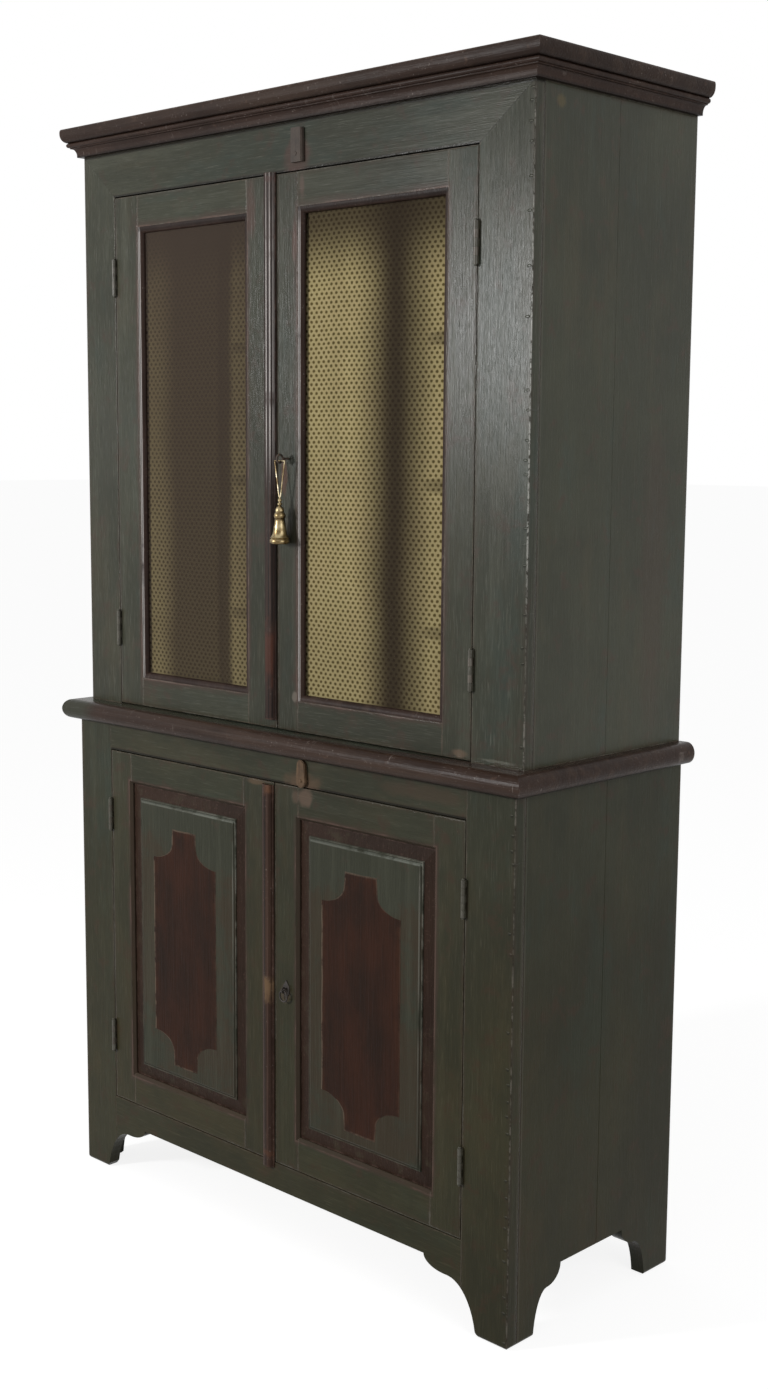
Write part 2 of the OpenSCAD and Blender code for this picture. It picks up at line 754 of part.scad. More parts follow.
module bolt(d, face) {
  x = d[1] - bolt_in;
  y = face + door_t / 2;
  cap_r = 5;
  cap_t = 3;
  stem = door_t / 2 + 6;
  color(iron) {
    translate([x, y, d[3] - bolt_down - bolt_l]) cylinder(r = bolt_r, h = bolt_l, $fn = 40);
    translate([x, y, d[3] - knob_down]) rotate([-90, 0, 0]) {
      cylinder(r = knob_r, h = stem, $fn = 28);
      translate([0, 0, stem - cap_t + 1]) cylinder(r = cap_r, h = cap_t, $fn = 28);
    }
  }
}

// Turn buttons on their nails, turned up clear of the doors
nail_r = 2;
nail_l = 16;
button_t = 7;
module button_bore(x, z, face) {
  translate([x, face - 1, z]) rotate([-90, 0, 0]) cylinder(r = nail_r + run, h = nail_l + 1.5, $fn = 32);
}

module nail(x, z, face, out) {
  translate([x, face + nail_l, z]) rotate([90, 0, 0]) rotate_extrude($fn = 32)
    polygon([[0, 0], [nail_r, 0], [nail_r, nail_l + out], [nail_r + 1.5, nail_l + out],
             [nail_r + 1.2, nail_l + out + 1.2], [0, nail_l + out + 1.8]]);
}

// Half the width and the length of the upper button, and its nail's distance from its end
up_button = [15, 58, 14];
button_edge = 3;
washer_r = 5;
module upper_button() {
  x = button_up_x;
  z = up_l[3] + button_up_z;
  c = button_edge;
  w = up_button[0];
  l = up_button[1];
  t = button_t;
  color(bare) {
    translate([x, case_y - clear, z - up_button[2]]) intersection() {
      rotate([90, 0, 0]) linear_extrude(t)
        polygon([[-w, 1], [2 - w, 0], [w - 2, 0], [w, 1],
                 [w - 1, l - 2], [w - 5, l], [5 - w, l], [1 - w, l - 2]]);
      linear_extrude(l) polygon([[-w, 0], [w, 0], [w, c - t], [w - c, -t], [c - w, -t], [-w, c - t]]);
    }
    translate([x, case_y, z]) rotate([90, 0, 0]) cylinder(r = washer_r, h = clear, $fn = 32);
    nail(x, z, case_y, clear + button_t);
  }
}

// Outline of the lower button: a round end of radius r0 about its nail, and one of radius r1 above it
low_button = [12.5, 10, 28];
low_button_t = 6;
button_step = 1.5;
module button_outline(r0, r1, reach) {
  circle(r = r0, $fn = 48);
  translate([0, reach]) circle(r = r1, $fn = 48);
  polygon([[-r0, 0], [r0, 0], [r1, reach], [-r1, reach]]);
}

module lower_button() {
  x = button_low_x;
  z = low_l[3] + button_low_z;
  r0 = low_button[0];
  r1 = low_button[1];
  reach = low_button[2];
  color(iron) {
    translate([x, base_y - clear, z]) rotate([90, 0, 0]) {
      linear_extrude(low_button_t - 1) button_outline(r0, r1, reach);
      linear_extrude(low_button_t) button_outline(r0 - button_step, r1 - button_step, reach);
    }
    translate([x, base_y, z]) rotate([90, 0, 0]) cylinder(r = washer_r, h = clear, $fn = 32);
    nail(x, z, base_y, clear + low_button_t);
  }
}

// Eye on a shank, its ring standing upright and square to the door
shank_in = 14;
module eye(x, z, face, out, ring_r, wire) {
  translate([x, face - out, z]) rotate([0, 90, 0])
    rotate_extrude($fn = 40) translate([ring_r, 0]) circle(r = wire, $fn = 20);
  translate([x, face - out + ring_r, z]) rotate([-90, 0, 0])
    cylinder(r = wire, h = out - ring_r + shank_in, $fn = 28);
}

module eye_bore(x, z, face, wire) {
  translate([x, face - 1, z]) rotate([-90, 0, 0]) cylinder(r = wire + run, h = shank_in + 1.5, $fn = 28);
}

// Brass pull: a wire loop through the eye, and a turned drop on it
eye_x = up_r[0] + 27;
eye_z = up_r[2] + eye_up;
eye_r = 7;
eye_wire = 2;
wire_r = 1;
bar_z = eye_z - eye_r + eye_wire + wire_r + 0.3;
bar_half = 13;
wire_drop = 62;
neck_gap = 2.2;

module pull_eye() {
  color(iron) eye(eye_x, eye_z, case_y, eye_out, eye_r, eye_wire);
}

module wire_run(a, b) {
  d = b - a;
  l = norm(d);
  translate(a) rotate([0, acos(d[2] / l), atan2(d[1], d[0])]) cylinder(r = wire_r, h = l, $fn = 20);
  translate(a) sphere(r = wire_r + 0.3, $fn = 24);
}

module pull_wire() {
  y = case_y - eye_out;
  left = [eye_x - bar_half, y, bar_z];
  right = [eye_x + bar_half, y, bar_z];
  low_l_end = [eye_x - neck_gap, y, bar_z - wire_drop];
  low_r_end = [eye_x + neck_gap, y, bar_z - wire_drop];
  color(brass) {
    wire_run(left, right);
    wire_run(right, low_r_end);
    wire_run(low_r_end, low_l_end);
    wire_run(low_l_end, left);
  }
}

// Turned drop: two beads, a ringed shoulder, a waisted body and a flared foot
drop_l = 84;
drop_r = 18;
module pull_drop() {
  bead_1 = 3;
  bead_2 = 3.6;
  top = bar_z - wire_drop - wire_r + 0.1;
  color(brass) translate([eye_x, case_y - eye_out, top - drop_l]) rotate_extrude($fn = 64)
    polygon(concat([[0, 0], [drop_r - 4, 0]], arc(drop_r - 4, 5, 4, 5, -80, 70, 6),
      arc(drop_r + 2, 26, 8, 16, 250, 190, 6), [[9.2, 42], [8.6, 43], [9.4, 44.5]],
      arc(7.5, 50, 3, 5.5, -70, 70, 6), [[7.2, 57], [7.6, 58.5]], arc(3, 58.5, 5, 8, 0, 75, 5),
      arc(0.6, drop_l - 13, bead_2, 3, -70, 70, 5), arc(0.6, drop_l - 6.5, bead_1, 3, -70, 70, 5),
      [[1.2, drop_l - 3], [1.2, drop_l], [0, drop_l]]));
}

// Iron ring pull on its staple, over a small pointed rose; the rose's sizes are half its width and height
rose_w = 8;
rose_h = 18;
rose_t = 1.5;
ring_x = low_r[0] + 30;
ring_z = low_r[2] + ring_up;
ring_eye_r = 4.5;
ring_wire = 1.6;
ring_out = 8;
ring_r = 10;
module ring_staple() {
  color(iron) {
    eye(ring_x, ring_z, base_y, ring_out, ring_eye_r, ring_wire);
    translate([ring_x, base_y, ring_z]) rotate([90, 0, 0]) linear_extrude(rose_t)
      polygon([[0, rose_h], [rose_w, rose_h / 3], [rose_w, -rose_h / 3], [0, -rose_h], [-rose_w, -rose_h / 3],
               [-rose_w, rose_h / 3]]);
  }
}

module ring_pull() {
  z = ring_z - ring_eye_r + 2 * ring_wire + 0.3 - ring_r;
  color(iron) translate([ring_x, base_y - ring_out, z]) rotate([90, 0, 0])
    rotate_extrude($fn = 48) translate([ring_r, 0]) circle(r = ring_wire, $fn = 20);
}

// Doors, member by member
module glazed_stile(d, o, left) {
  color(green) door_hinge_stile(d, o, case_y, up_hinges, up_hinge_l, left);
}

module panelled_stile(d, o, left) {
  color(green) difference() {
    door_hinge_stile(d, o, base_y, low_hinges, low_hinge_l, left);
    panel_groove(o, base_y);
    splay_cut(o, base_y, splay);
  }
}

module panelled_rail(o, z0, z1) {
  color(green) difference() {
    tenoned_rail(o[0], o[1], z0, z1, base_y, door_t);
    panel_groove(o, base_y);
    splay_cut(o, base_y, splay);
  }
}

module glazed_rail(o, z0, z1) {
  color(green) tenoned_rail(o[0], o[1], z0, z1, case_y, door_t);
}

module upper_left_closing_stile() {
  color(green) difference() {
    door_closing_stile(up_l, up_l_in, case_y, true);
    bolt_seat(up_l, case_y);
  }
}

module upper_right_closing_stile() {
  color(green) difference() {
    door_closing_stile(up_r, up_r_in, case_y, false);
    eye_bore(eye_x, eye_z, case_y, eye_wire);
  }
}

module lower_left_closing_stile() {
  color(green) difference() {
    door_closing_stile(low_l, low_l_in, base_y, true);
    panel_groove(low_l_in, base_y);
    splay_cut(low_l_in, base_y, splay);
    bolt_seat(low_l, base_y);
  }
}

module lower_right_closing_stile() {
  color(green) difference() {
    door_closing_stile(low_r, low_r_in, base_y, false);
    panel_groove(low_r_in, base_y);
    splay_cut(low_r_in, base_y, splay);
    eye_bore(ring_x, ring_z, base_y, ring_wire);
  }
}

// How far the strips' lower and upper ends lie over those of their doors
up_strip = [15, 4];
low_strip = [-12, -5];
low_pin_l = low_open[0] + hinge_gap / 2;
low_pin_r = low_open[1] - hinge_gap / 2;
up_pin_l = up_open[0] + hinge_gap / 2;
up_pin_r = up_open[1] - hinge_gap / 2;

base_side(-1);  // base_side_left
base_side(1);  // base_side_right
base_stile(-1);  // base_stile_left
base_stile(1);  // base_stile_right
base_top_rail();
base_apron();
base_floor();
base_shelf();
waist_board();
waist_nosing();
case_side(-1);  // case_side_left
case_side(1);  // case_side_right
case_stile(-1);  // case_stile_left
case_stile(1);  // case_stile_right
case_top_rail();
case_floor();
case_shelves();
back_boards();
cornice_board();
cornice_moulding();
frame_hinge_leaves();
glazed_stile(up_l, up_l_in, true);  // upper_left_hinge_stile
upper_left_closing_stile();
glazed_rail(up_l_in, up_l_in[3], up_l[3]);  // upper_left_top_rail
glazed_rail(up_l_in, up_l[2], up_l_in[2]);  // upper_left_bottom_rail
pane(up_l_in, case_y);  // upper_left_glass
cloth(up_l_in, case_y);  // upper_left_cloth
glazing_beads(up_l_in, case_y);  // upper_left_beads
upper_hinges(up_pin_l, 1);  // upper_left_hinge_leaves
astragal(up_l, case_y, up_l[2] + up_strip[0], up_l[3] + up_strip[1]);  // upper_astragal
bolt(up_l, case_y);  // upper_bolt
glazed_stile(up_r, up_r_in, false);  // upper_right_hinge_stile
upper_right_closing_stile();
glazed_rail(up_r_in, up_r_in[3], up_r[3]);  // upper_right_top_rail
glazed_rail(up_r_in, up_r[2], up_r_in[2]);  // upper_right_bottom_rail
pane(up_r_in, case_y);  // upper_right_glass
cloth(up_r_in, case_y);  // upper_right_cloth
glazing_beads(up_r_in, case_y);  // upper_right_beads
upper_hinges(up_pin_r, -1);  // upper_right_hinge_leaves
panelled_stile(low_l, low_l_in, true);  // lower_left_hinge_stile
lower_left_closing_stile();
panelled_rail(low_l_in, low_l_in[3], low_l[3]);  // lower_left_top_rail
panelled_rail(low_l_in, low_l[2], low_l_in[2]);  // lower_left_bottom_rail
raised_panel(low_l_in, base_y);  // lower_left_panel
lower_hinges(low_pin_l, 1);  // lower_left_hinge_leaves
astragal(low_l, base_y, low_l[2] + low_strip[0], low_l[3] + low_strip[1]);  // lower_astragal
bolt(low_l, base_y);  // lower_bolt
panelled_stile(low_r, low_r_in, false);  // lower_right_hinge_stile
lower_right_closing_stile();
panelled_rail(low_r_in, low_r_in[3], low_r[3]);  // lower_right_top_rail
panelled_rail(low_r_in, low_r[2], low_r_in[2]);  // lower_right_bottom_rail
raised_panel(low_r_in, base_y);  // lower_right_panel
lower_hinges(low_pin_r, -1);  // lower_right_hinge_leaves
upper_button();
lower_button();
pull_eye();
pull_wire();
pull_drop();
ring_staple();
ring_pull();
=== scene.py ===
import bmesh
import bpy
import math
from mathutils import Matrix, Vector


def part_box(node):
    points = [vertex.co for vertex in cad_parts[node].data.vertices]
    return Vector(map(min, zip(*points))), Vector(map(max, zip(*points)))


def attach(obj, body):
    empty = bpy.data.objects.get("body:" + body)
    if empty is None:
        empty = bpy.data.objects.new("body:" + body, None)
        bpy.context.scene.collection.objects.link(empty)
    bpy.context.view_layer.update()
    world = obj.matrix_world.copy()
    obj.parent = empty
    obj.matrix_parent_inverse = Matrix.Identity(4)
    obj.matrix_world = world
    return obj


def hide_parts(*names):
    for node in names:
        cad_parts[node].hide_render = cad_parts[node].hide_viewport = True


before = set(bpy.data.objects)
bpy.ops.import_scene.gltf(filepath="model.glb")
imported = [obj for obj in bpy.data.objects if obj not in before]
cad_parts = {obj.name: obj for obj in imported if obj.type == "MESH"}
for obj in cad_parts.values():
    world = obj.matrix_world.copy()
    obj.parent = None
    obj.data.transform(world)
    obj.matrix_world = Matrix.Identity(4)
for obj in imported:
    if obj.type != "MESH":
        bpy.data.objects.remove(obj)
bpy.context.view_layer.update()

# Lengths are in metres, in the cupboard's own frame: its front looks along -Y and it stands on z = 0.
# A pair of numbers after rise() is where a mark starts and where it is full.


class Wire:  # a shader socket that takes part in Python sums
    def __init__(self, shader, socket):
        self.shader = shader
        self.socket = socket

    def __add__(self, other):
        return self.shader.calc("ADD", self, other)

    def __radd__(self, other):
        return self.shader.calc("ADD", other, self)

    def __sub__(self, other):
        return self.shader.calc("SUBTRACT", self, other)

    def __rsub__(self, other):
        return self.shader.calc("SUBTRACT", other, self)

    def __mul__(self, other):
        return self.shader.calc("MULTIPLY", self, other)

    def __rmul__(self, other):
        return self.shader.calc("MULTIPLY", other, self)

    def __truediv__(self, other):
        return self.shader.calc("DIVIDE", self, other)

    def __rtruediv__(self, other):
        return self.shader.calc("DIVIDE", other, self)

    def __mod__(self, other):
        return self.shader.calc("FLOORED_MODULO", self, other)

    def __rmod__(self, other):
        return self.shader.calc("FLOORED_MODULO", other, self)

    def __abs__(self):
        return self.shader.calc("ABSOLUTE", self)

    def least(self, other):
        return self.shader.calc("MINIMUM", self, other)

    def most(self, other):
        return self.shader.calc("MAXIMUM", self, other)

    def floor(self):
        return self.shader.calc("FLOOR", self)

    def root(self):
        return self.shader.calc("SQRT", self)

    def rise(self, start, end):  # 0 at start, 1 at end, eased between
        ends = {"Value": self, "From Min": start, "From Max": end, "To Min": 0.0, "To Max": 1.0}
        return self.shader.node("ShaderNodeMapRange", {"interpolation_type": "SMOOTHSTEP"}, ends)

    def near(self, at, width):  # 1 at a value, 0 from this width away
        return abs(self - at).rise(width, width * 0.3)


class Shader:  # the nodes of one material, or of the world
    def __init__(self, name, isWorld=False):
        self.owner = (bpy.data.worlds if isWorld else bpy.data.materials).new(name)
        self.owner.use_nodes = True
        self.tree = self.owner.node_tree
        self.tree.nodes.clear()
        self.out = self.tree.nodes.new("ShaderNodeOutputWorld" if isWorld else "ShaderNodeOutputMaterial")
        if not isWorld:
            self.place = self.node("ShaderNodeTexCoord", output="Object")
            parts = self.node("ShaderNodeSeparateXYZ", inputs={"Vector": self.place})
            outputs = parts.socket.node.outputs
            self.x, self.y, self.z = (Wire(self, outputs[i]) for i in range(3))

    def node(self, kind, settings=None, inputs=None, output=0):
        made = self.tree.nodes.new(kind)
        for key, value in (settings or {}).items():
            setattr(made, key, value)
        for key, value in (inputs or {}).items():
            if isinstance(value, Wire):
                self.tree.links.new(value.socket, made.inputs[key])
            else:
                made.inputs[key].default_value = value
        return Wire(self, made.outputs[output])

    def calc(self, operation, *values):
        return self.node("ShaderNodeMath", {"operation": operation}, dict(enumerate(values)))

    def blend(self, factor, first, second, mode="MIX"):  # two colours
        first, second = (c if isinstance(c, Wire) else (*c[:3], 1.0) for c in (first, second))
        return self.node("ShaderNodeMix", {"data_type": "RGBA", "blend_type": mode, "clamp_factor": True},
                         {0: factor, 6: first, 7: second}, output=2)

    def coat(self, color, layers, tones, strength=1.0):  # thin coats, each let through by one noise
        for noise, start, end, share, tone in layers:
            color = self.blend(getattr(self, noise).rise(start, end) * (share * strength), color, tones[tone])
        return color

    def noise(self, scale, detail=3.0, rough=0.55, stretch=(1, 1, 1), shift=(0, 0, 0)):
        where = self.node("ShaderNodeMapping", {"vector_type": "POINT"},
                          {"Vector": self.place, "Scale": stretch, "Location": shift})
        return self.node("ShaderNodeTexNoise",
                         inputs={"Vector": where, "Scale": scale, "Detail": detail, "Roughness": rough})

    def luck(self, number):  # one random value for each whole number
        return self.node("ShaderNodeTexWhiteNoise", {"noise_dimensions": "1D"}, {"W": number})

    def bump(self, height, distance, strength=1.0):
        inputs = {"Height": height, "Distance": distance, "Strength": strength}
        return self.node("ShaderNodeBump", inputs=inputs)

    def show(self, surface):
        self.tree.links.new(surface.socket, self.out.inputs["Surface"])
        return self.owner

    def finish(self, **sockets):
        names = {"color": "Base Color", "roughness": "Roughness", "metal": "Metallic", "normal": "Normal",
                 "gloss": "Specular IOR Level", "sheen": "Sheen Weight", "sheenRoughness": "Sheen Roughness"}
        inputs = {names[key]: value for key, value in sockets.items()}
        return self.show(self.node("ShaderNodeBsdfPrincipled", inputs=inputs))


def middleOf(a, b, c):  # the second largest of three
    return a.least(b).most(a.most(b).least(c))


def boxOf(node):
    low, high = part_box(node)
    return Vector(low), Vector(high)


def wear(node, material):
    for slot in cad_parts[node].material_slots:
        slot.material = material


def sightOf(door, left):  # a door's sight opening: left, right, bottom, top
    hinge, closing = boxOf(door + "_hinge_stile"), boxOf(door + "_closing_stile")
    bottom, top = boxOf(door + "_bottom_rail"), boxOf(door + "_top_rail")
    a, b = (hinge, closing) if left else (closing, hinge)
    return a[1].x, b[0].x, bottom[1].z, top[0].z


# Doors, and whether each one hangs on its left side
doors = {"upper_left": True, "upper_right": False, "lower_left": True, "lower_right": False}
sights = {door: sightOf(door, left) for door, left in doors.items()}
print("frame read")

# Paint: the green of the carcase and doors, and the maroon of the mouldings
greenPaint = {
    "deep": (0.034, 0.0355, 0.0240), "usual": (0.0455, 0.0475, 0.0315), "pale": (0.072, 0.074, 0.053),
    "teal": (0.036, 0.052, 0.043), "olive": (0.058, 0.051, 0.031), "brown": (0.056, 0.037, 0.027),
    "worn": (0.115, 0.088, 0.066), "chip": (0.19, 0.185, 0.155), "rose": (0.16, 0.095, 0.080),
    # bright is the colour of the painted highlight along the front corner
    "bright": (0.34, 0.34, 0.31), "dark": (0.008, 0.007, 0.005),
    "low": (0.86, 0.78, 0.61), "floorShadeFrom": 1.02, "floorShadeTo": 0.45,  # painted shade: the base is painted darker and browner towards the floor
    "baseTop": 1.0, "lowStreaks": 0.55, "gloss": 0.14, "lowGloss": 0.07,
    "roughness": 0.22, "grooves": 0.0004, "railGrooves": 0.00022, "sideHairs": 0.4, "frontHairs": 0.75,
    "patches": [("patch", 0.50, 0.66, 0.50, "olive"), ("patch", 0.47, 0.33, 0.45, "teal")],
    "streaks": [("broad", 0.50, 0.75, 1.0, "pale"), ("broad", 0.48, 0.28, 1.0, "deep"),
                ("hairs", 0.54, 0.74, 0.8, "pale"), ("scratch", 0.58, 0.72, 0.7, "chip")],
    "smudges": [("fine", 0.54, 0.70, 0.55, "brown"), ("fine", 0.46, 0.30, 0.35, "deep")],
}
greenWear = {  # sizes and shares of the marks on the green paint
    "smear": {"ragged": 0.034, "from": 0.014, "share": 0.6},
    "line": {"out": 0.0015, "width": 0.0024, "ragged": 0.004, "share": 0.5, "lowShare": 0.38, "deep": 0.6},
    "edge": {"from": 0.0024, "to": 0.0004, "ragged": 0.006, "worn": 0.5, "chip": 0.4, "depth": 1.2},
    "grime": {"from": 0.010, "to": 0.001, "ragged": 0.01, "share": 0.30},
    "rim": {"from": 0.004, "to": 0.016, "ragged": 0.05, "corner": (0.20, 0.42), "wider": 0.03,
            "share": 0.85, "deep": 0.6},
    "seam": {"width": 0.0012, "share": 0.7, "beside": 0.0020,
             "ahead": 0.0042, "aheadShare": 0.20, "behind": 0.0048, "behindShare": 0.15},
    "mitre": {"from": 0.0014, "to": 0.0004, "share": 0.4,
              "chipAt": 0.0022, "chipWidth": 0.0014, "chip": 0.25},
    "nails": {"strayX": 0.005, "strayZ": 0.010, "flat": 0.5, "tall": 2.4, "drop": 0.0032,
              "there": (0.35, 0.45), "under": (0.0030, 0.0014), "head": (0.0026, 0.0012),
              "swell": (0.0034, 0.0020), "proud": 3.0, "dark": 0.45, "chip": 0.22},
    # arris: a painted highlight and dark flecks along the front corner
    "arris": {"ragged": 0.0024, "front": (0.0032, 0.0014), "side": (0.0026, 0.0008), "share": 0.3,
              "lowShare": 0.16, "highlightHeight": 1.55, "highlightReach": 0.42, "highlightShare": 0.65,
              "dark": 0.3, "bright": 0.85},
    # gap and shadow: painted shade along the gap over the doors, and a painted shadow below the cornice
    # moulding
    "gap": {"from": 0.0048, "to": 0.0016, "ragged": 0.002, "share": 0.85},
    "shadow": {"from": 0.007, "to": 0.003, "ragged": 0.003, "share": 0.8},
    "spot": {"from": 1.1, "to": 0.45, "ragged": 1.5, "cloudy": 0.8},
}
maroonPaint = {
    "deep": (0.019, 0.0103, 0.0078), "usual": (0.031, 0.0170, 0.0128), "pale": (0.054, 0.034, 0.026),
    # bright is the colour of the painted highlights on the beads and astragals
    "worn": (0.10, 0.060, 0.046), "chip": (0.33, 0.28, 0.25), "bright": (0.62, 0.58, 0.55),
    # dark is also the colour of the painted shade lines in the quirks
    "dark": (0.005, 0.003, 0.0025), "gloss": 0.10, "roughness": 0.36, "grooves": 0.0008,
    "brushed": [("broad", 0.42, 0.75, 1.0, "pale")],
    "smudges": [("hairs", 0.46, 0.28, 0.5, "deep"), ("fine", 0.60, 0.76, 0.5, "worn")],
}
maroonWear = {  # sizes and shares of the marks on the maroon paint
    "lineRagged": 0.0006, "broken": (0.27, 0.47), "highlightTop": (1.85, 1.93), "aboveHighlight": 0.55,
    "edge": {"from": 0.004, "to": 0.0005, "ragged": 0.009, "share": 0.6},
    "bandRagged": 2.4, "nick": (0.64, 0.74), "endRagged": 0.06, "endShare": 0.9, "shadeLineRagged": 0.004,
}


def edgeDistance(shader, box):  # metres to the nearest edge of a box, on its faces
    low, high = box
    away = []
    for wire, a, b in ((shader.x, low.x, high.x), (shader.y, low.y, high.y), (shader.z, low.z, high.z)):
        away.append((b - a) / 2 - abs(wire - (a + b) / 2))
    return middleOf(*away)


def outsideOf(shader, sight):  # metres outside a sight opening; negative inside it
    left, right, bottom, top = sight
    return (abs(shader.x - (left + right) / 2) - (right - left) / 2).most(
        abs(shader.z - (bottom + top) / 2) - (top - bottom) / 2)


def brushed(shader, along, seed):  # brush marks along one axis, and finer hairs in them
    drawn = {"x": (0.05, 1, 1), "z": (1, 1, 0.05)}[along]
    shader.broad = shader.noise(38, 3, 0.6, stretch=drawn, shift=(seed, seed * 0.7, 0))
    shader.hairs = shader.noise(260, 2, 0.6, stretch=drawn, shift=(0, seed, seed * 0.3))


def greenNoises(s, along, seed):
    brushed(s, along, seed)
    thin = {"x": (0.03, 1, 1), "z": (1, 1, 0.03)}[along]
    long = {"x": (0.35, 1, 1), "z": (1, 1, 0.35)}[along]
    s.scratch = s.noise(800, 2, 0.7, stretch=thin, shift=(seed, 0, 0.5))
    s.cloud = s.noise(3.2, 4, 0.6, shift=(seed, 2 * seed, 0.4))
    s.patch = s.noise(6.0, 4, 0.7, stretch=long, shift=(2 * seed, 0.8, seed))
    s.fine = s.noise(24, 4, 0.65, shift=(seed, 0, 0))
    s.speck = s.noise(170, 3, 0.7, shift=(0, seed, seed))
    s.nibble = s.noise(120, 3, 0.6, shift=(0, seed, 0))
    s.patchy = s.noise(9, 3, 0.6, shift=(seed, seed, 0))


def strayMaroon(s, color, along, seed, sight, splay, low):  # maroon that strays onto a door's frame
    smear, line = greenWear["smear"], greenWear["line"]
    long = {"x": (0.25, 1, 1), "z": (1, 1, 0.25)}[along]
    out = outsideOf(s, sight)
    stray = s.noise(30, 4, 0.7, stretch=long, shift=(seed, 0, seed))
    mask = (out + (0.5 - stray) * smear["ragged"]).rise(smear["from"], splay)
    color = s.blend(mask * smear["share"], color, maroonPaint["pale"])
    edge = (out + (0.5 - s.fine) * line["ragged"]).near(splay + line["out"], line["width"])
    share = line["lowShare"] if low else line["share"]
    color = s.blend(edge * stray.rise(0.46, 0.60) * share, color, greenPaint["rose"])
    return s.blend(edge * stray.rise(0.46, 0.34) * line["deep"], color, maroonPaint["deep"])


def wornEdges(s, color, box):  # chips and grime along a board's edges
    edge, grime = greenWear["edge"], greenWear["grime"]
    away = edgeDistance(s, box)
    lost = (away + (0.5 - s.nibble) * edge["ragged"]).rise(edge["from"], edge["to"])
    color = s.blend(lost * s.patchy.rise(0.42, 0.60) * edge["worn"], color, greenPaint["worn"])
    color = s.blend(lost * s.patchy.rise(0.50, 0.40) * edge["chip"], color, greenPaint["chip"])
    dark = (away + (0.5 - s.fine) * grime["ragged"]).rise(grime["from"], grime["to"])
    dark = dark * s.patchy.rise(0.60, 0.45) * grime["share"]
    return s.blend(dark, color, greenPaint["brown"]), lost


def maroonRim(s, color, box, seed):  # maroon brushed over the outer margin of a board
    rim = greenWear["rim"]
    half = (box[1].x - box[0].x) / 2
    margin = (half - abs(s.x - (box[0].x + half))).least(s.y - box[0].y)
    ragged = s.noise(14, 4, 0.7, stretch=(0.3, 1, 1), shift=(seed, 0, 0))
    wider = s.x.rise(*rim["corner"]) * rim["wider"]
    over = (margin + (0.5 - ragged) * rim["ragged"] - wider).rise(rim["to"], rim["from"])
    color = s.blend(over * rim["share"], color, maroonPaint["pale"])
    return s.blend(over * s.broad.rise(0.40, 0.60) * rim["deep"], color, maroonPaint["deep"])


def stileSeam(s, color, at):  # joint between a corner stile and its side board
    seam = greenWear["seam"]
    ahead, behind = (s.y.near(at + step, seam["beside"]) for step in (seam["ahead"], -seam["behind"]))
    color = s.blend(s.y.near(at, seam["width"]) * seam["share"], color, greenPaint["dark"])
    color = s.blend(ahead * s.cloud.rise(0.3, 0.6) * seam["aheadShare"], color, greenPaint["chip"])
    return s.blend(behind * s.cloud.rise(0.7, 0.4) * seam["behindShare"], color, greenPaint["chip"])


def mitreLine(s, color, ends):  # joint that runs slanting across a corner
    mitre = greenWear["mitre"]
    x0, z0, x1, z1 = ends
    length = math.hypot(x1 - x0, z1 - z0)
    across = abs((s.x - x0) * ((z1 - z0) / length) - (s.z - z0) * ((x1 - x0) / length))
    color = s.blend(across.rise(mitre["from"], mitre["to"]) * mitre["share"], color, greenPaint["dark"])
    chipped = across.near(mitre["chipAt"], mitre["chipWidth"]) * s.nibble.rise(0.50, 0.62)
    return s.blend(chipped * mitre["chip"], color, greenPaint["chip"])


def nailHeads(s, color, at, pitch):  # heads of the small nails along a corner, painted over; each head gets a painted highlight and a painted shadow below it
    nails = greenWear["nails"]
    row = (s.z / pitch).floor()
    dz = ((s.z / pitch) % 1.0 - 0.5) * pitch + (s.luck(row + 12.3) - 0.5) * nails["strayZ"]
    dx = s.x - at - (s.luck(row + 31.7) - 0.5) * nails["strayX"]
    there = s.luck(row).rise(*nails["there"])
    low = dz + nails["drop"]
    ring = (dx * dx * nails["flat"] + dz * dz * nails["tall"]).root()
    under = (dx * dx * nails["flat"] + low * low * nails["tall"]).root()
    # painted shadow below each nail head
    color = s.blend(under.rise(*nails["under"]) * there * nails["dark"], color, greenPaint["dark"])
    # painted highlight on each nail head
    color = s.blend(ring.rise(*nails["head"]) * there * nails["chip"], color, greenPaint["chip"])
    return color, ring.rise(*nails["swell"]) * there * nails["proud"]


def cornerHighlight(s, color, box, at, low):  # painted highlight along the front corner, strongest about the height where the window lamp's highlight falls, with dark flecks
    arris = greenWear["arris"]
    edge = (at - s.x + (0.5 - s.nibble) * arris["ragged"]).rise(*arris["front"])
    edge = edge * (s.y - box[0].y).rise(*arris["side"])
    reach = (s.z - arris["highlightHeight"]).near(0.0, arris["highlightReach"])
    wearAndHighlight = (s.patchy.rise(0.44, 0.58) * (arris["lowShare"] if low else arris["share"])
              + reach * s.patchy.rise(0.28, 0.44) * arris["highlightShare"])
    color = s.blend(edge * s.nibble.rise(0.54, 0.44) * arris["dark"], color, greenPaint["dark"])
    bright = edge * wearAndHighlight * s.nibble.rise(0.40, 0.54) * arris["bright"]
    return s.blend(bright, color, greenPaint["bright"])


def darkLine(s, color, height, sign, line):  # painted shade up to a height: along a gap, and below a moulding
    away = s.z - height + (s.fine - 0.5) * (sign * line["ragged"])
    mask = away.rise(-sign * line["from"], -sign * line["to"])
    return s.blend(mask * line["share"], color, greenPaint["dark"])


def paintStainsAndHighlight(s, color, across, stainsAndHighlight):  # single stains, and one painted highlight: place across, height, two radii, tone, share
    spot = greenWear["spot"]
    for px, pz, rx, rz, tone, share in stainsAndHighlight:
        dx, dz = (across - px) / rx, (s.z - pz) / rz
        away = (dx * dx + dz * dz).root() + (s.fine - 0.5) * spot["ragged"]
        away = away + (s.cloud - 0.5) * spot["cloudy"]
        color = s.blend(away.rise(spot["from"], spot["to"]) * share, color, tone)
    return color


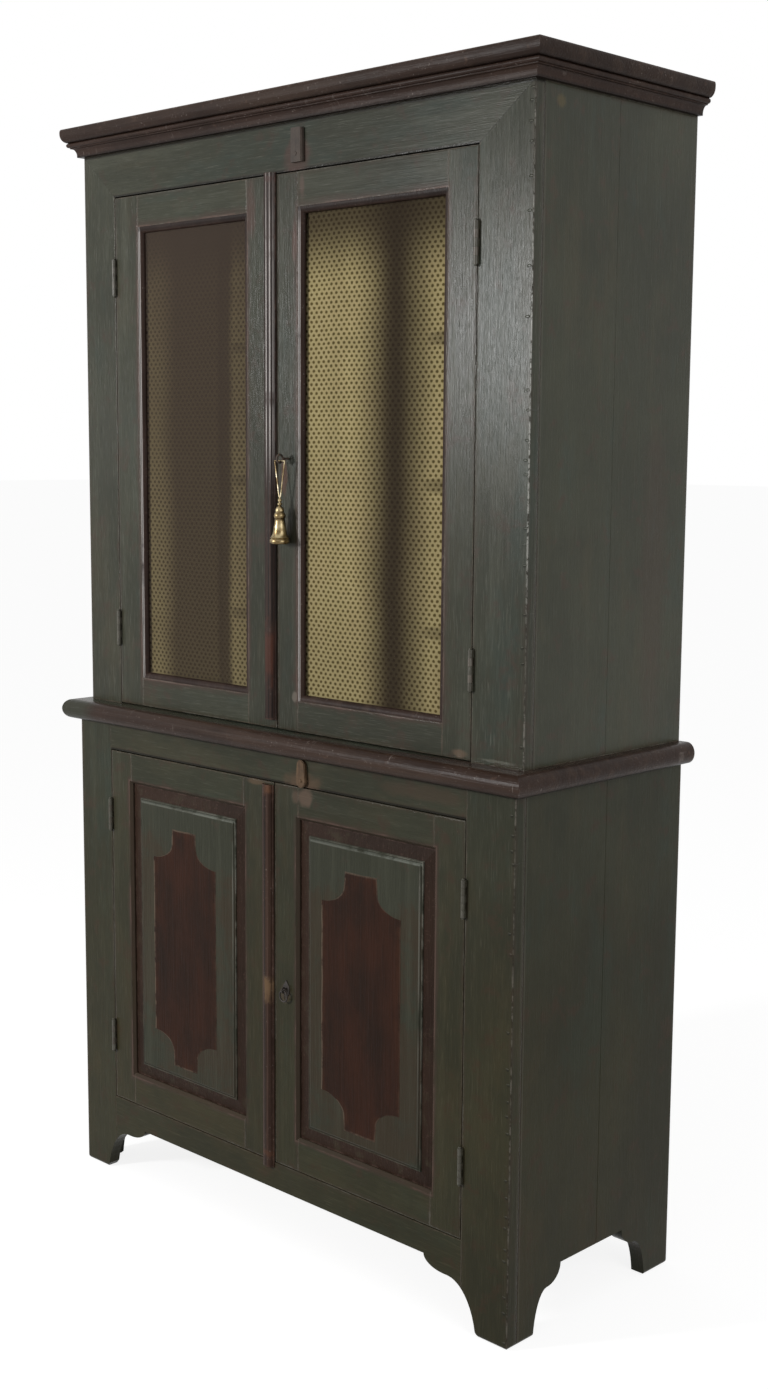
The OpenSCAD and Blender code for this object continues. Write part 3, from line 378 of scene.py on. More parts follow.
def greenWood(name, along, box, seed, streaks=0.5, sight=None, splay=0.0, stainsAndHighlight=(), nails=None, seam=None,
              mitre=None, hasRim=False, arris=None, shadow=None, tone=1.0):
    s = Shader(name)
    look = greenPaint
    isSide = "side" in name
    low = box[1].z < look["baseTop"]
    greenNoises(s, along, seed)
    streaks = streaks * (look["lowStreaks"] if low else 1.0)
    color = s.blend(s.cloud.rise(0.35, 0.68), look["deep"], look["usual"])
    color = s.coat(color, look["patches"], look)
    color = s.coat(color, look["streaks"], look, streaks)
    color = s.blend(s.scratch.rise(0.42, 0.28) * (0.1 + streaks * 0.6), color, look["dark"])
    color = s.coat(color, look["smudges"], look)
    color = s.blend(s.speck.rise(0.66, 0.74) * s.cloud.rise(0.4, 0.6) * 0.6, color, look["worn"])
    # painted shade: the base darker and browner towards the floor
    color = s.blend(s.z.rise(look["floorShadeFrom"], look["floorShadeTo"]), color, look["low"], "MULTIPLY")
    # painted shade and light: a whole board made darker or lighter by its tone
    color = s.blend(1.0, color, (tone, tone, tone), "MULTIPLY")
    if sight:
        color = strayMaroon(s, color, along, seed, sight, splay, low)
    color, lost = wornEdges(s, color, box)
    height = s.broad * 0.5 + s.hairs * look["sideHairs" if isSide else "frontHairs"] + s.scratch * 0.6
    height = height + s.fine * 0.14 + s.speck * 0.10 - lost * greenWear["edge"]["depth"]
    if hasRim:
        color = maroonRim(s, color, box, seed)
    if seam:
        color = stileSeam(s, color, seam)
    if mitre:
        color = mitreLine(s, color, mitre)
    if nails:
        color, heads = nailHeads(s, color, *nails)
        height = height + heads
    if arris:
        color = cornerHighlight(s, color, box, arris, low)
    if "top_rail" in name and not sight:  # painted shade on the rail along the gap over the doors
        color = darkLine(s, color, box[0].z, -1, greenWear["gap"])
    if shadow:  # painted shadow below the cornice moulding
        color = darkLine(s, color, shadow, 1, greenWear["shadow"])
    color = paintStainsAndHighlight(s, color, s.y if isSide else s.x, stainsAndHighlight)
    rough = look["roughness"] + s.broad * 0.08 + (s.cloud - 0.5) * 0.10 + (s.hairs - 0.5) * 0.15
    normal = s.bump(height, look["railGrooves" if along == "x" else "grooves"], 1.0)
    return s.finish(color=color, roughness=rough, gloss=look["lowGloss" if low else "gloss"], normal=normal)


def maroonWood(name, along, box=None, seed=0.0, lines=(), pale=0.6, gloss=None, roughness=None, shadeLines=(),
               tint=None, bands=(), scratched=0.0, greenEnd=None, highlightFrom=None):
    s = Shader(name)
    look, marks = maroonPaint, maroonWear
    brushed(s, along, seed)
    s.cloud = s.noise(5, 4, 0.6, shift=(seed, 2 * seed, 0.4))
    s.fine = s.noise(60, 4, 0.65, shift=(seed, 0, 0))
    s.speck = s.noise(210, 3, 0.7, shift=(0, seed, seed))
    color = s.blend(s.cloud.rise(0.36, 0.66), look["deep"], look["usual"])
    color = s.coat(color, look["brushed"], look, pale)
    color = s.coat(color, look["smudges"], look)
    if tint:
        color = s.blend(1.0, color, tint, "MULTIPLY")
    color = s.blend(s.speck.rise(0.62, 0.72) * s.cloud.rise(0.40, 0.58) * 0.45, color, look["chip"])
    wearAndHighlight = s.noise(34, 4, 0.7, stretch=(0.02, 0.02, 0.22), shift=(seed, 1.3, 0))
    for at, width, share, tone in lines:  # upright lines: painted highlights on the ridges, painted shade in the quirks, and worn lines on the lower astragal
        line = (s.x + (s.fine - 0.5) * marks["lineRagged"]).near(at, width)
        line = line * wearAndHighlight.rise(*marks["broken"]) * share
        if highlightFrom and tone == "bright":  # the painted highlights run only over the height where the window lamp's highlight falls
            line = line * s.z.rise(*highlightFrom) * (1 - s.z.rise(*marks["highlightTop"]) * marks["aboveHighlight"])
        color = s.blend(line, color, look[tone])
    if box:  # worn along the edges
        edge = marks["edge"]
        nibble = s.noise(90, 3, 0.6, shift=(0, seed, 0))
        lost = (edgeDistance(s, box) + (0.5 - nibble) * edge["ragged"]).rise(edge["from"], edge["to"])
        color = s.blend(lost * s.cloud.rise(0.4, 0.62) * edge["share"], color, look["worn"])
    for height, half, tone, share in bands:  # stains across the whole width
        away = abs(s.z - height) / half + (s.fine - 0.5) * marks["bandRagged"]
        color = s.blend(away.rise(1.0, 0.2) * s.broad.rise(0.40, 0.56) * share, color, tone)
    if scratched:  # short scratches across the moulding
        nick = s.noise(150, 3, 0.6, stretch=(1, 0.14, 0.14), shift=(0, seed, 0))
        nick = nick.rise(*marks["nick"]) * s.cloud.rise(0.46, 0.60) * scratched
        color = s.blend(nick, color, look["chip"])
    if greenEnd:  # the green of the case runs over one end
        full, start = greenEnd
        over = (s.x + (s.cloud - 0.5) * marks["endRagged"]).rise(start, full) * marks["endShare"]
        color = s.blend(over, color, greenPaint["deep"])
    for height, width, share in shadeLines:  # painted shade in the quirks between mouldings and below them
        line = (s.z + (s.fine - 0.5) * marks["shadeLineRagged"]).near(height, width)
        color = s.blend(line * share, color, look["dark"])
    normal = s.bump(s.broad * 0.8 + s.hairs * 0.8 + s.fine * 0.8 + s.speck * 0.2, look["grooves"], 1.0)
    return s.finish(color=color, roughness=(roughness or look["roughness"]) + s.broad * 0.10,
                    gloss=gloss or look["gloss"], normal=normal)


woodLook = {"dark": (0.135, 0.085, 0.050), "pale": (0.27, 0.185, 0.115), "hairs": (0.09, 0.055, 0.032),
            "grey": (0.11, 0.082, 0.058), "gloss": 0.25, "roughness": 0.62, "grooves": 0.0008}


def bareWood(name, along, seed=0.0):
    s = Shader(name)
    look = woodLook
    brushed(s, along, seed)
    cloud = s.noise(4, 4, 0.6, shift=(seed, 0, seed))
    color = s.blend(s.broad.rise(0.3, 0.75), look["dark"], look["pale"])
    color = s.blend(s.hairs.rise(0.5, 0.8) * 0.5, color, look["hairs"])
    color = s.blend(cloud.rise(0.5, 0.75) * 0.4, color, look["grey"])
    normal = s.bump(s.broad * 0.5 + s.hairs * 0.5, look["grooves"], 0.8)
    rough = look["roughness"] + s.hairs * 0.2
    return s.finish(color=color, roughness=rough, gloss=look["gloss"], normal=normal)


# Carcase: which way each board's grain runs, and the marks that belong to one board
carcase = {
    "base_side_left": "z", "base_side_right": "z", "base_stile_left": "z", "base_stile_right": "z",
    "base_top_rail": "x", "base_apron": "x", "waist_board": "x",
    "case_side_left": "z", "case_side_right": "z", "case_stile_left": "z", "case_stile_right": "z",
    "case_top_rail": "x",
}
# painted shade and light: the top rail and left stile painted darker, the right side painted lighter
carcaseShadeAndLight = {"case_top_rail": 0.90, "case_stile_left": 0.97, "case_side_right": 1.22}
carcaseStreaks = {"side": 0.12, "front": 0.5}
upperButton, lowerButton = boxOf("upper_button"), boxOf("lower_button")
upperButtonX = (upperButton[0].x + upperButton[1].x) / 2
lowerButtonX = (lowerButton[0].x + lowerButton[1].x) / 2
stainsAndHighlight = {
    "case_top_rail": [(upperButtonX - 0.002, 1.985, 0.034, 0.040, (0.075, 0.044, 0.036), 0.7)],
    "base_top_rail": [(lowerButtonX - 0.004, 0.895, 0.050, 0.026, (0.105, 0.068, 0.044), 0.7),
                      (0.38, 0.918, 0.12, 0.018, (0.066, 0.047, 0.032), 0.6)],
    "case_side_right": [(-0.128, 2.022, 0.012, 0.012, (0.115, 0.088, 0.040), 0.55),
                        (0.150, 1.250, 0.045, 0.34, (0.066, 0.046, 0.034), 0.45)],
    # painted highlight: a pale line along the stile's bottom edge
    "case_stile_right": [(0.515, 0.986, 0.055, 0.0035, (0.13, 0.13, 0.105), 0.7)],
}
caseLeft, caseRight = boxOf("case_stile_left"), boxOf("case_stile_right")
baseRight = boxOf("base_stile_right")
caseTop, caseOuter, baseTop, baseOuter = caseRight[1].z, caseRight[1].x, baseRight[1].z, baseRight[1].x
corniceFoot, railFoot = boxOf("cornice_moulding")[0].z, boxOf("case_top_rail")[0].z
arrises = {"case_stile_right": caseOuter, "base_stile_right": baseOuter}
nailIn = 0.006  # nails this far in from the corner
nailRows = {"case_stile_right": (caseOuter - nailIn, 0.027), "base_stile_right": (baseOuter - nailIn, 0.028)}
seams = {"case": caseRight[1].y, "base": baseRight[1].y}
mitres = {"right": (caseRight[0].x, railFoot, caseOuter, caseTop),
          "left": (caseLeft[1].x, railFoot, -caseOuter, caseTop)}
for seed, (node, along) in enumerate(carcase.items()):
    isSide, isCase = "side" in node, node.startswith("case")
    corner = "right" if "right" in node or "top_rail" in node else "left"
    isMitred = isCase and not isSide
    wear(node, greenWood("green_" + node, along, boxOf(node), seed * 1.7,
                         streaks=carcaseStreaks["side" if isSide else "front"],
                         arris=arrises.get(node), stainsAndHighlight=stainsAndHighlight.get(node, ()), nails=nailRows.get(node),
                         seam=seams[node[:4]] if isSide or "stile" in node else None,
                         mitre=mitres[corner] if isMitred else None, shadow=corniceFoot if isMitred else None,
                         tone=carcaseShadeAndLight.get(node, 1.0), hasRim=node == "waist_board"))
corniceTop, corniceBoard = boxOf("cornice_moulding")[1].z, boxOf("cornice_board")
# The dark lines at given heights are painted shade in the quirks and below each moulding.
mouldings = {
    "waist_nosing": {"seed": 3.1, "pale": 0.65, "tint": (1.0, 0.93, 0.80), "gloss": 0.12, "roughness": 0.30,
                     "scratched": 0.45, "greenEnd": (-0.545, -0.49), "shadeLines": [(baseTop, 0.006, 0.85)]},
    "cornice_moulding": {"seed": 4.1, "pale": 0.45, "tint": (1.0, 0.96, 0.88), "scratched": 0.25,
                         "shadeLines": [(corniceTop, 0.003, 0.5), (caseTop, 0.005, 0.6)]},
    "cornice_board": {"seed": 5.3, "pale": 0.5, "tint": (0.97, 0.98, 0.90), "box": corniceBoard,
                      "shadeLines": [(corniceBoard[0].z, 0.003, 0.5)]},
}
for node, look in mouldings.items():
    wear(node, maroonWood("maroon_" + node, "x", **look))
for seed, node in enumerate(("base_floor", "base_shelf", "case_floor", "case_shelves")):
    wear(node, bareWood("bare_" + node, "x", seed * 2.3))
wear("back_boards", bareWood("bare_back", "z", 5.0))
print("carcase painted")

# Doors
doorStains = {
    "upper_right_hinge_stile": [(0.430, 0.990, 0.020, 0.008, (0.16, 0.108, 0.073), 0.6)],
    "upper_left_closing_stile": [(-0.080, 1.905, 0.016, 0.055, (0.085, 0.045, 0.036), 0.55)],
    "upper_right_closing_stile": [(0.033, 1.845, 0.009, 0.050, (0.105, 0.055, 0.045), 0.6),
                                  (0.006, 1.437, 0.009, 0.036, (0.075, 0.036, 0.022), 0.8),
                                  (0.033, 1.043, 0.007, 0.010, (0.20, 0.17, 0.14), 0.5)],
    "lower_right_closing_stile": [(0.036, 0.495, 0.014, 0.020, (0.11, 0.078, 0.055), 0.55),
                                  (0.062, 0.868, 0.012, 0.014, (0.11, 0.075, 0.055), 0.6)],
    "lower_right_top_rail": [(0.088, 0.868, 0.020, 0.016, (0.13, 0.088, 0.065), 0.7)],
    "lower_left_closing_stile": [(-0.040, 0.880, 0.030, 0.006, (0.12, 0.08, 0.05), 0.6)],
    "upper_right_top_rail": [(0.052, 1.935, 0.010, 0.030, (0.12, 0.075, 0.062), 0.5)],
}
# painted shade: these door members painted darker
doorShade = {
    "upper_right_closing_stile": 0.84, "upper_left_closing_stile": 0.92, "upper_right_top_rail": 0.88,
    "upper_right_hinge_stile": 0.94, "upper_right_bottom_rail": 0.92, "lower_right_closing_stile": 0.90,
    "lower_left_closing_stile": 0.92, "lower_right_top_rail": 0.93,
}
doorFrame = {"hinge_stile": "z", "closing_stile": "z", "top_rail": "x", "bottom_rail": "x"}
panelSplay = 0.005  # the frame's slanting inner edge round a panel
for seed, door in enumerate(doors):
    splay = 0.0 if door.startswith("upper") else panelSplay
    for part, along in doorFrame.items():
        node = door + "_" + part
        box = boxOf(node)
        if along == "x":  # leave the tenons out
            left, right = sights[door][:2]
            box = (Vector((left, box[0].y, box[0].z)), Vector((right, box[1].y, box[1].z)))
        wear(node, greenWood("green_" + node, along, box, 20 + seed * 4.1 + len(part), sight=sights[door],
                             splay=splay, stainsAndHighlight=doorStains.get(node, ()), tone=doorShade.get(node, 1.0)))
# painted highlights on the bead's ridges, with painted shade between them
beadLines = [(0.0008, 0.0013, 0.85, "bright"), (0.0026, 0.0012, 0.90, "dark"),
             (0.0044, 0.0012, 0.60, "bright")]
# painted shade along the top of each bead
for seed, node in enumerate(("upper_left_beads", "upper_right_beads")):
    low, high = boxOf(node)
    lines = [(low.x + at, width, share, tone) for at, width, share, tone in beadLines]
    wear(node, maroonWood("maroon_" + node, "z", seed=7.7 + seed, lines=lines, pale=0.6,
                          shadeLines=[(high.z - 0.004, 0.006, 0.55)]))
# painted highlights and painted shade along each astragal; the lower astragal's pale lines are wear
astragalLook = {
    "lineWidth": 0.0018, "highlightFrom": (1.40, 1.53),
    "upper_astragal": {
        "lines": [(0.25, 0.80, "dark"), (0.42, 0.80, "bright"), (0.57, 0.90, "dark"), (0.71, 0.66, "bright"),
                  (0.81, 0.90, "dark"), (0.88, 0.35, "bright"), (0.97, 0.90, "dark")],
        "bands": [(1.955, 0.008, (0.070, 0.034, 0.027), 0.5), (1.115, 0.075, (0.080, 0.027, 0.016), 0.55)],
        "tint": None},
    "lower_astragal": {
        "lines": [(0.26, 0.30, "worn"), (0.44, 0.85, "dark"), (0.66, 0.45, "worn")],
        "bands": [(0.497, 0.030, (0.17, 0.105, 0.055), 0.7), (0.872, 0.010, (0.13, 0.060, 0.032), 0.7),
                  (0.178, 0.010, (0.085, 0.038, 0.022), 0.6)],
        "tint": (1.0, 0.90, 0.78)},
}
for seed, node in enumerate(("upper_astragal", "lower_astragal")):
    low, high = boxOf(node)
    look = astragalLook[node]
    wide, width = high.x - low.x, astragalLook["lineWidth"]
    lines = [(low.x + wide * at, width, share, tone) for at, share, tone in look["lines"]]
    wear(node, maroonWood("maroon_" + node, "z", (low, high), 11.1 + seed, lines=lines, pale=0.5,
                          tint=look["tint"], bands=look["bands"], highlightFrom=astragalLook["highlightFrom"]))

# Raised panels: maroon bevel, green field and a grained cartouche
panelLook = {
    "bevel": 0.026, "line": 0.0016, "step": 0.009,
    "quirkAt": 0.32, "quirkWidth": 0.0013, "crestAt": 0.66, "crestWidth": 0.0019,
    "crownAt": 0.6, "crownWidth": 0.0034,
    "lower_right": {"body": (0.129, 0.325), "neck": (0.185, 0.268), "tip": 0.0395},
    "lower_left": {"body": (-0.347, -0.160), "neck": (-0.285, -0.212), "tip": 0.035},
    "height": (0.275, 0.302, 0.338, 0.690, 0.723, 0.752),
    # crown is the colour of the painted highlight along the top of the field
    "crown": (0.155, 0.165, 0.140), "dark": (0.0150, 0.0072, 0.0042), "red": (0.032, 0.0115, 0.0060),
    "warm": (0.052, 0.019, 0.009), "rim": (0.125, 0.098, 0.070), "green": (0.037, 0.0385, 0.027),
    "brown": (0.041, 0.0295, 0.018), "maroonDeep": (0.020, 0.0108, 0.0070), "maroon": (0.031, 0.0168, 0.0110),
    "fieldCoats": [("broad", 0.46, 0.75, 0.30, "pale"), ("hairs", 0.52, 0.74, 0.22, "pale"),
                   ("scratch", 0.42, 0.28, 0.40, "dark"), ("fine", 0.56, 0.75, 0.40, "brown")],
    "bevelCoats": [("hairs", 0.50, 0.78, 0.35, "pale"), ("speck", 0.58, 0.70, 0.40, "worn")],
    "grainCoats": [("speck", 0.60, 0.72, 0.35, "warm"), ("hairs", 0.50, 0.74, 0.50, "dark")],
    "grooves": 0.0010, "roughness": 0.42, "wobble": 0.005, "litAcross": (0.25, 1.0), "litUp": (0.0, 0.9),
}


def insideCartouche(s, shape):  # metres in from its outline, its middle and half its width
    z0, z1, z2, z3, z4, z5 = panelLook["height"]
    middle, reach = (z0 + z5) / 2, (z5 - z0) / 2
    half = (shape["body"][1] - shape["body"][0]) / 2
    neck = (shape["neck"][1] - shape["neck"][0]) / 2
    centre = (shape["body"][0] + shape["body"][1]) / 2
    up = abs(s.z - middle)
    shoulder, collar = (z3 - z2) / 2, (z4 - z1) / 2
    t = ((up - shoulder) / (collar - shoulder)).most(0.0).least(1.0)
    scoop = (1 - (1 - t) * (1 - t)).most(0.0).root()
    width = half - (half - neck) * scoop - (up - collar).rise(0.0, reach - collar) * (neck - shape["tip"])
    return (width - abs(s.x - centre)).least(reach - up), centre, half


def paintedField(s, look):
    field = s.blend(s.cloud.rise(0.35, 0.68), greenPaint["deep"], look["green"])
    grime = (s.cloud + s.fine * 0.6 - s.z.rise(0.66, 0.78) * 0.3).rise(0.66, 0.86)
    field = s.blend(grime * 0.8, field, look["brown"])
    return s.coat(field, look["fieldCoats"], greenPaint)


def paintedBevel(s, look, inside, lit):
    maroon = s.blend(s.cloud.rise(0.3, 0.7), look["maroonDeep"], look["maroon"])
    maroon = s.coat(maroon, look["bevelCoats"], maroonPaint)
    maroon = s.blend(s.fine.rise(0.52, 0.70) * (1 - lit) * 0.35, maroon, greenPaint["olive"])
    return s.blend(inside.rise(0.0040, 0.0008) * s.fine.rise(0.40, 0.60) * 0.35, maroon, greenPaint["rose"])


def stepHighlights(s, color, look, inside, lit, top):  # the small step round the field: pale lines of painted highlight, strongest on the right and top, a painted highlight along its top, and a dark line in the quirk
    bevel, step = look["bevel"], look["step"]
    line = inside.near(bevel + 0.0006, look["line"])
    color = s.blend(line * s.fine.rise(0.36, 0.58) * (0.25 + lit * 0.45), color, greenPaint["chip"])
    quirk = inside.near(bevel + step * look["quirkAt"], look["quirkWidth"])
    color = s.blend(quirk * 0.55, color, greenPaint["dark"])
    crest = inside.near(bevel + step * look["crestAt"], look["crestWidth"])
    color = s.blend(crest * s.cloud.rise(0.34, 0.52) * (0.20 + lit * 0.50), color, greenPaint["chip"])
    crown = s.z.near(top - bevel - step * look["crownAt"], look["crownWidth"])
    crown = crown * inside.rise(bevel, bevel + 0.003) * s.fine.rise(0.34, 0.56)
    return s.blend(crown * (0.45 + lit * 0.4), color, look["crown"])


def paintedPanel(door, seed):
    look = panelLook
    s = Shader("panel_" + door)
    brushed(s, "z", seed)
    s.scratch = s.noise(800, 2, 0.7, stretch=(1, 1, 0.03), shift=(seed, 0, 0.5))
    s.cloud = s.noise(4, 4, 0.6, shift=(seed, 0, 0))
    s.fine = s.noise(40, 4, 0.65, shift=(0, seed, 0))
    s.speck = s.noise(190, 3, 0.7, shift=(0, seed, seed))
    wobble = (s.noise(18, 3, 0.6, shift=(seed, 0, 1)) - 0.5) * look["wobble"]
    left, right, bottom, top = sights[door]
    lit = ((s.x - left) / (right - left)).rise(*look["litAcross"])
    lit = lit * ((s.z - bottom) / (top - bottom)).rise(*look["litUp"])
    inside = 0 - outsideOf(s, sights[door])  # metres in from the frame's edge
    onField = (inside + wobble * 0.25).rise(look["bevel"] - 0.0014, look["bevel"] - 0.0002)
    color = s.blend(onField, paintedBevel(s, look, inside, lit), paintedField(s, look))
    color = stepHighlights(s, color, look, inside, lit, top)
    into, centre, half = insideCartouche(s, look[door])
    into = into + wobble
    mask = into.rise(-0.0004, 0.0010)
    tone = s.noise(13, 5, 0.7, stretch=(1, 1, 0.4), shift=(seed, 0.3, 2))
    grained = s.blend(tone.rise(0.32, 0.70), look["dark"], look["red"])
    grained = s.blend(into.rise(0.022, 0.002) * s.fine.rise(0.40, 0.65) * 0.45, grained, look["warm"])
    grained = s.coat(grained, look["grainCoats"], look)
    color = s.blend(mask, color, grained)
    lean = (centre - s.x).rise(-half * 1.2, half * 0.8) * 0.7 + 0.15  # the rim shows more on the left
    rim = mask * into.rise(0.0044, 0.0018)
    color = s.blend(rim * lean * s.fine.rise(0.36, 0.56) * 0.9, color, look["rim"])
    height = s.broad * 0.8 + s.hairs * 0.8 + s.fine * 0.6 + s.scratch * 0.4 + mask * 0.4
    return s.finish(color=color, roughness=look["roughness"] + s.broad * 0.12 + mask * 0.04,
                    gloss=greenPaint["lowGloss"], normal=s.bump(height, look["grooves"], 1.0))


for seed, door in enumerate(("lower_left", "lower_right")):
    wear(door + "_panel", paintedPanel(door, 31.0 + seed * 2.9))
print("doors painted")

# Iron: hinges are painted over, the rest is bare and rusty
ironLook = {"dark": (0.024, 0.019, 0.016), "pale": (0.060, 0.046, 0.036), "rust": (0.13, 0.060, 0.026),
            "pitDepth": 0.0004, "ringTone": 0.35}
hingePaint = {
    "frame_hinge_leaves": (0.058, 0.054, 0.039), "upper_left_hinge_leaves": (0.080, 0.072, 0.055),
    "upper_right_hinge_leaves": (0.105, 0.088, 0.070), "lower_left_hinge_leaves": (0.052, 0.042, 0.029),
    "lower_right_hinge_leaves": (0.050, 0.046, 0.031),
}


def oldIron(name, seed, rust=0.5, paint=None, tone=1.0):
    s = Shader(name)
    look = ironLook
    cloud = s.noise(60, 4, 0.65, shift=(seed, 0, 0))
    pits = s.noise(420, 3, 0.6, shift=(0, seed, 0))
    color = s.blend(cloud.rise(0.35, 0.65), look["dark"], look["pale"])
    color = s.blend(pits.rise(0.45, 0.7) * rust, color, look["rust"])
    color = s.blend(1.0, color, (tone, tone, tone), "MULTIPLY")
    normal = s.bump(cloud + pits * 0.5, look["pitDepth"], 0.8)
    if not paint:
        metal = (1 - cloud.rise(0.4, 0.6)) * 0.4
        return s.finish(color=color, roughness=0.5 + pits * 0.25, metal=metal, normal=normal)
    color = s.blend(0.78 + cloud.rise(0.40, 0.55) * 0.22, color, paint)
    drawn = s.noise(300, 2, 0.6, stretch=(1, 1, 0.08), shift=(seed, 0, 0))
    color = s.blend(drawn.rise(0.56, 0.70) * 0.4, color, greenPaint["chip"])
    return s.finish(color=color, roughness=0.30 + pits * 0.15, gloss=0.35, normal=normal)


for seed, (node, paint) in enumerate(hingePaint.items()):
    wear(node, oldIron("iron_" + node, seed, 0.25, paint))
for seed, node in enumerate(("upper_bolt", "lower_bolt", "pull_eye", "ring_staple", "ring_pull")):
    tone = ironLook["ringTone"] if node.startswith("ring") else 1.0
    wear(node, oldIron("iron_" + node, 5 + seed, 0.5, tone=tone))

# Turn buttons: two body tones, the tone of the hairs and the tone of the broad grain
buttonLook = {
    "upper_button": {
        "name": "button_wood", "seed": 41.0, "metal": 0.0, "body": (0.040, 0.031, 0.025),
        "pale": (0.070, 0.054, 0.044), "hairs": (0.018, 0.013, 0.011), "grain": (0.085, 0.048, 0.040)},
    "lower_button": {
        "name": "button_iron", "seed": 43.0, "metal": 0.2, "body": (0.050, 0.030, 0.017),
        "pale": (0.115, 0.070, 0.038), "hairs": (0.022, 0.014, 0.009), "grain": (0.15, 0.095, 0.05)},
}


def buttonFinish(look):
    s = Shader(look["name"])
    brushed(s, "z", look["seed"])
    cloud = s.noise(45, 4, 0.65, shift=(look["seed"], 0, 0))
    color = s.blend(cloud.rise(0.3, 0.7), look["body"], look["pale"])
    color = s.blend(s.hairs.rise(0.5, 0.78) * 0.6, color, look["hairs"])
    color = s.blend(s.broad.rise(0.5, 0.75) * 0.5, color, look["grain"])
    normal = s.bump(s.broad + s.hairs * 0.5 + cloud * 0.6, 0.0008, 0.8)
    return s.finish(color=color, roughness=0.5 + cloud * 0.2, gloss=0.2, metal=look["metal"], normal=normal)


for node, look in buttonLook.items():
    wear(node, buttonFinish(look))

# Brass: bright is how much of it is rubbed, and ahead brings the rubbed places on sooner
brassLook = {
    "dull": (0.15, 0.105, 0.050), "usual": (0.47, 0.385, 0.225), "wearAndHighlight": (0.80, 0.72, 0.54),
    "rings": 0.0003,
    "pull_drop": {"name": "brass_drop", "bright": 0.5, "ahead": 0.0},
    "pull_wire": {"name": "brass_wire", "bright": 1.0, "ahead": 0.12},
}


def oldBrass(node):
    look, own = brassLook, brassLook[node]
    s = Shader(own["name"])
    cloud = s.noise(70, 4, 0.6)
    turning = s.noise(900, 2, 0.5, stretch=(0.03, 0.03, 1))
    color = s.blend(cloud.rise(0.35, 0.68), look["dull"], look["usual"])
    color = s.blend((cloud + own["ahead"]).rise(0.62, 0.8) * own["bright"], color, look["wearAndHighlight"])
    normal = s.bump(cloud * 0.6 + turning * 0.5, look["rings"], 0.7)
    return s.finish(color=color, roughness=0.26 + cloud * 0.22, metal=1.0, normal=normal)


for node in ("pull_drop", "pull_wire"):
    wear(node, oldBrass(node))
print("metal done")

# Glass with a diffuse film: dust and a painted reflection of the room, thicker on the left pane and towards
# its top
glassLook = {
    "clear": (0.94, 0.95, 0.92, 1), "cloudy": 0.10, "thickest": 0.95,
    "upper_left": {"base": 0.27, "side": 0.03, "lean": 0.27, "from": 0.45, "to": 0.85,
                   "dustAndReflection": (0.091, 0.069, 0.056, 1)},
    "upper_right": {"base": 0.0, "side": 0.02, "lean": 0.0, "from": 0.0, "to": 0.4,
                    "dustAndReflection": (0.050, 0.040, 0.030, 1)},
}


def oldGlass(door, sight):
    left, right, bottom, top = sight
    film = glassLook[door]
    s = Shader("glass_" + door)
    cloud = s.noise(5, 3, 0.5)
    along = (s.x - left) / (right - left)
    up = (s.z - bottom) / (top - bottom)
    # share of the film: painted reflection and dust
    share = film["base"] + along.rise(film["to"], film["from"]) * film["side"] + (up - 0.5) * film["lean"]
    share = (share + (cloud - 0.5) * glassLook["cloudy"]).most(0.0).least(glassLook["thickest"])
    dustAndReflection = s.node("ShaderNodeBsdfDiffuse", inputs={"Color": film["dustAndReflection"]})
    clear = s.node("ShaderNodeBsdfTransparent", inputs={"Color": glassLook["clear"]})
    return s.show(s.node("ShaderNodeMixShader", inputs={0: share, 1: clear, 2: dustAndReflection}))


for door in ("upper_left", "upper_right"):
    wear(door + "_glass", oldGlass(door, sights[door]))

# Printed cloth stretched behind the glass; a painted shade band is its place, outer and inner half width, and
# darkness
clothLook = {
    "pitch": 0.0124, "row": 0.0077, "dot": 0.0031, "dotSoft": (0.0013, 0.0010), "dotRagged": 0.0022,
    "driftX": 0.005, "driftZ": 0.004, "columns": 46, "rows": 110,
    "ground": (0.44, 0.350, 0.190), "light": (0.49, 0.392, 0.230), "ink": (0.082, 0.053, 0.017),
    "faded": (0.42, 0.31, 0.19), "shade": (0.033, 0.0225, 0.0185), "fold": 0.00035, "thick": 0.0004,
    "shadeBands": {"upper_left": [(-0.172, 0.031, 0.010, 0.85), (-0.256, 0.108, 0.050, 0.78)],
              "upper_right": [(0.266, 0.112, 0.002, 0.98), (0.318, 0.040, 0.004, 0.14),
                              (0.120, 0.030, 0.005, 0.08)]},
    "dim": {"upper_left": 0.22, "upper_right": 0.0}, "dimFoot": 0.85, "dimLean": 0.3, "dimSide": 0.05,
    "topShade": (0.150, 0.022, 0.88), "footShade": (0.32, 0.05, 0.17),
    "shelves": (0.009, 0.254, 0.494), "shelfBlur": 0.018, "shelfShare": 0.5, "shadeBandRagged": 0.03,
    "pulls": 96, "pullLean": 0.5, "leanPulls": 3.1, "calmSides": 8,
}


def printedDots(s, left):  # rows of dots, every second row half a pitch along
    look = clothLook
    x = s.x + (s.noise(14, 3, 0.6, shift=(left, 0, 0)) - 0.5) * look["driftX"]
    z = s.z + (s.noise(11, 2, 0.6, shift=(0, 3, 0)) - 0.5) * look["driftZ"]
    row = (z / look["row"]).floor()
    dx = ((x / look["pitch"] + (row % 2.0) * 0.5) % 1.0 - 0.5) * look["pitch"]
    dz = (z / look["row"] % 1.0 - 0.5) * look["row"]
    ring = (dx * dx + dz * dz * 1.5).root()
    outer, inner = look["dotSoft"]
    ragged = (s.noise(300, 1, 0.5) - 0.5) * look["dotRagged"]
    return (ring + ragged).rise(look["dot"] + outer, look["dot"] - inner)


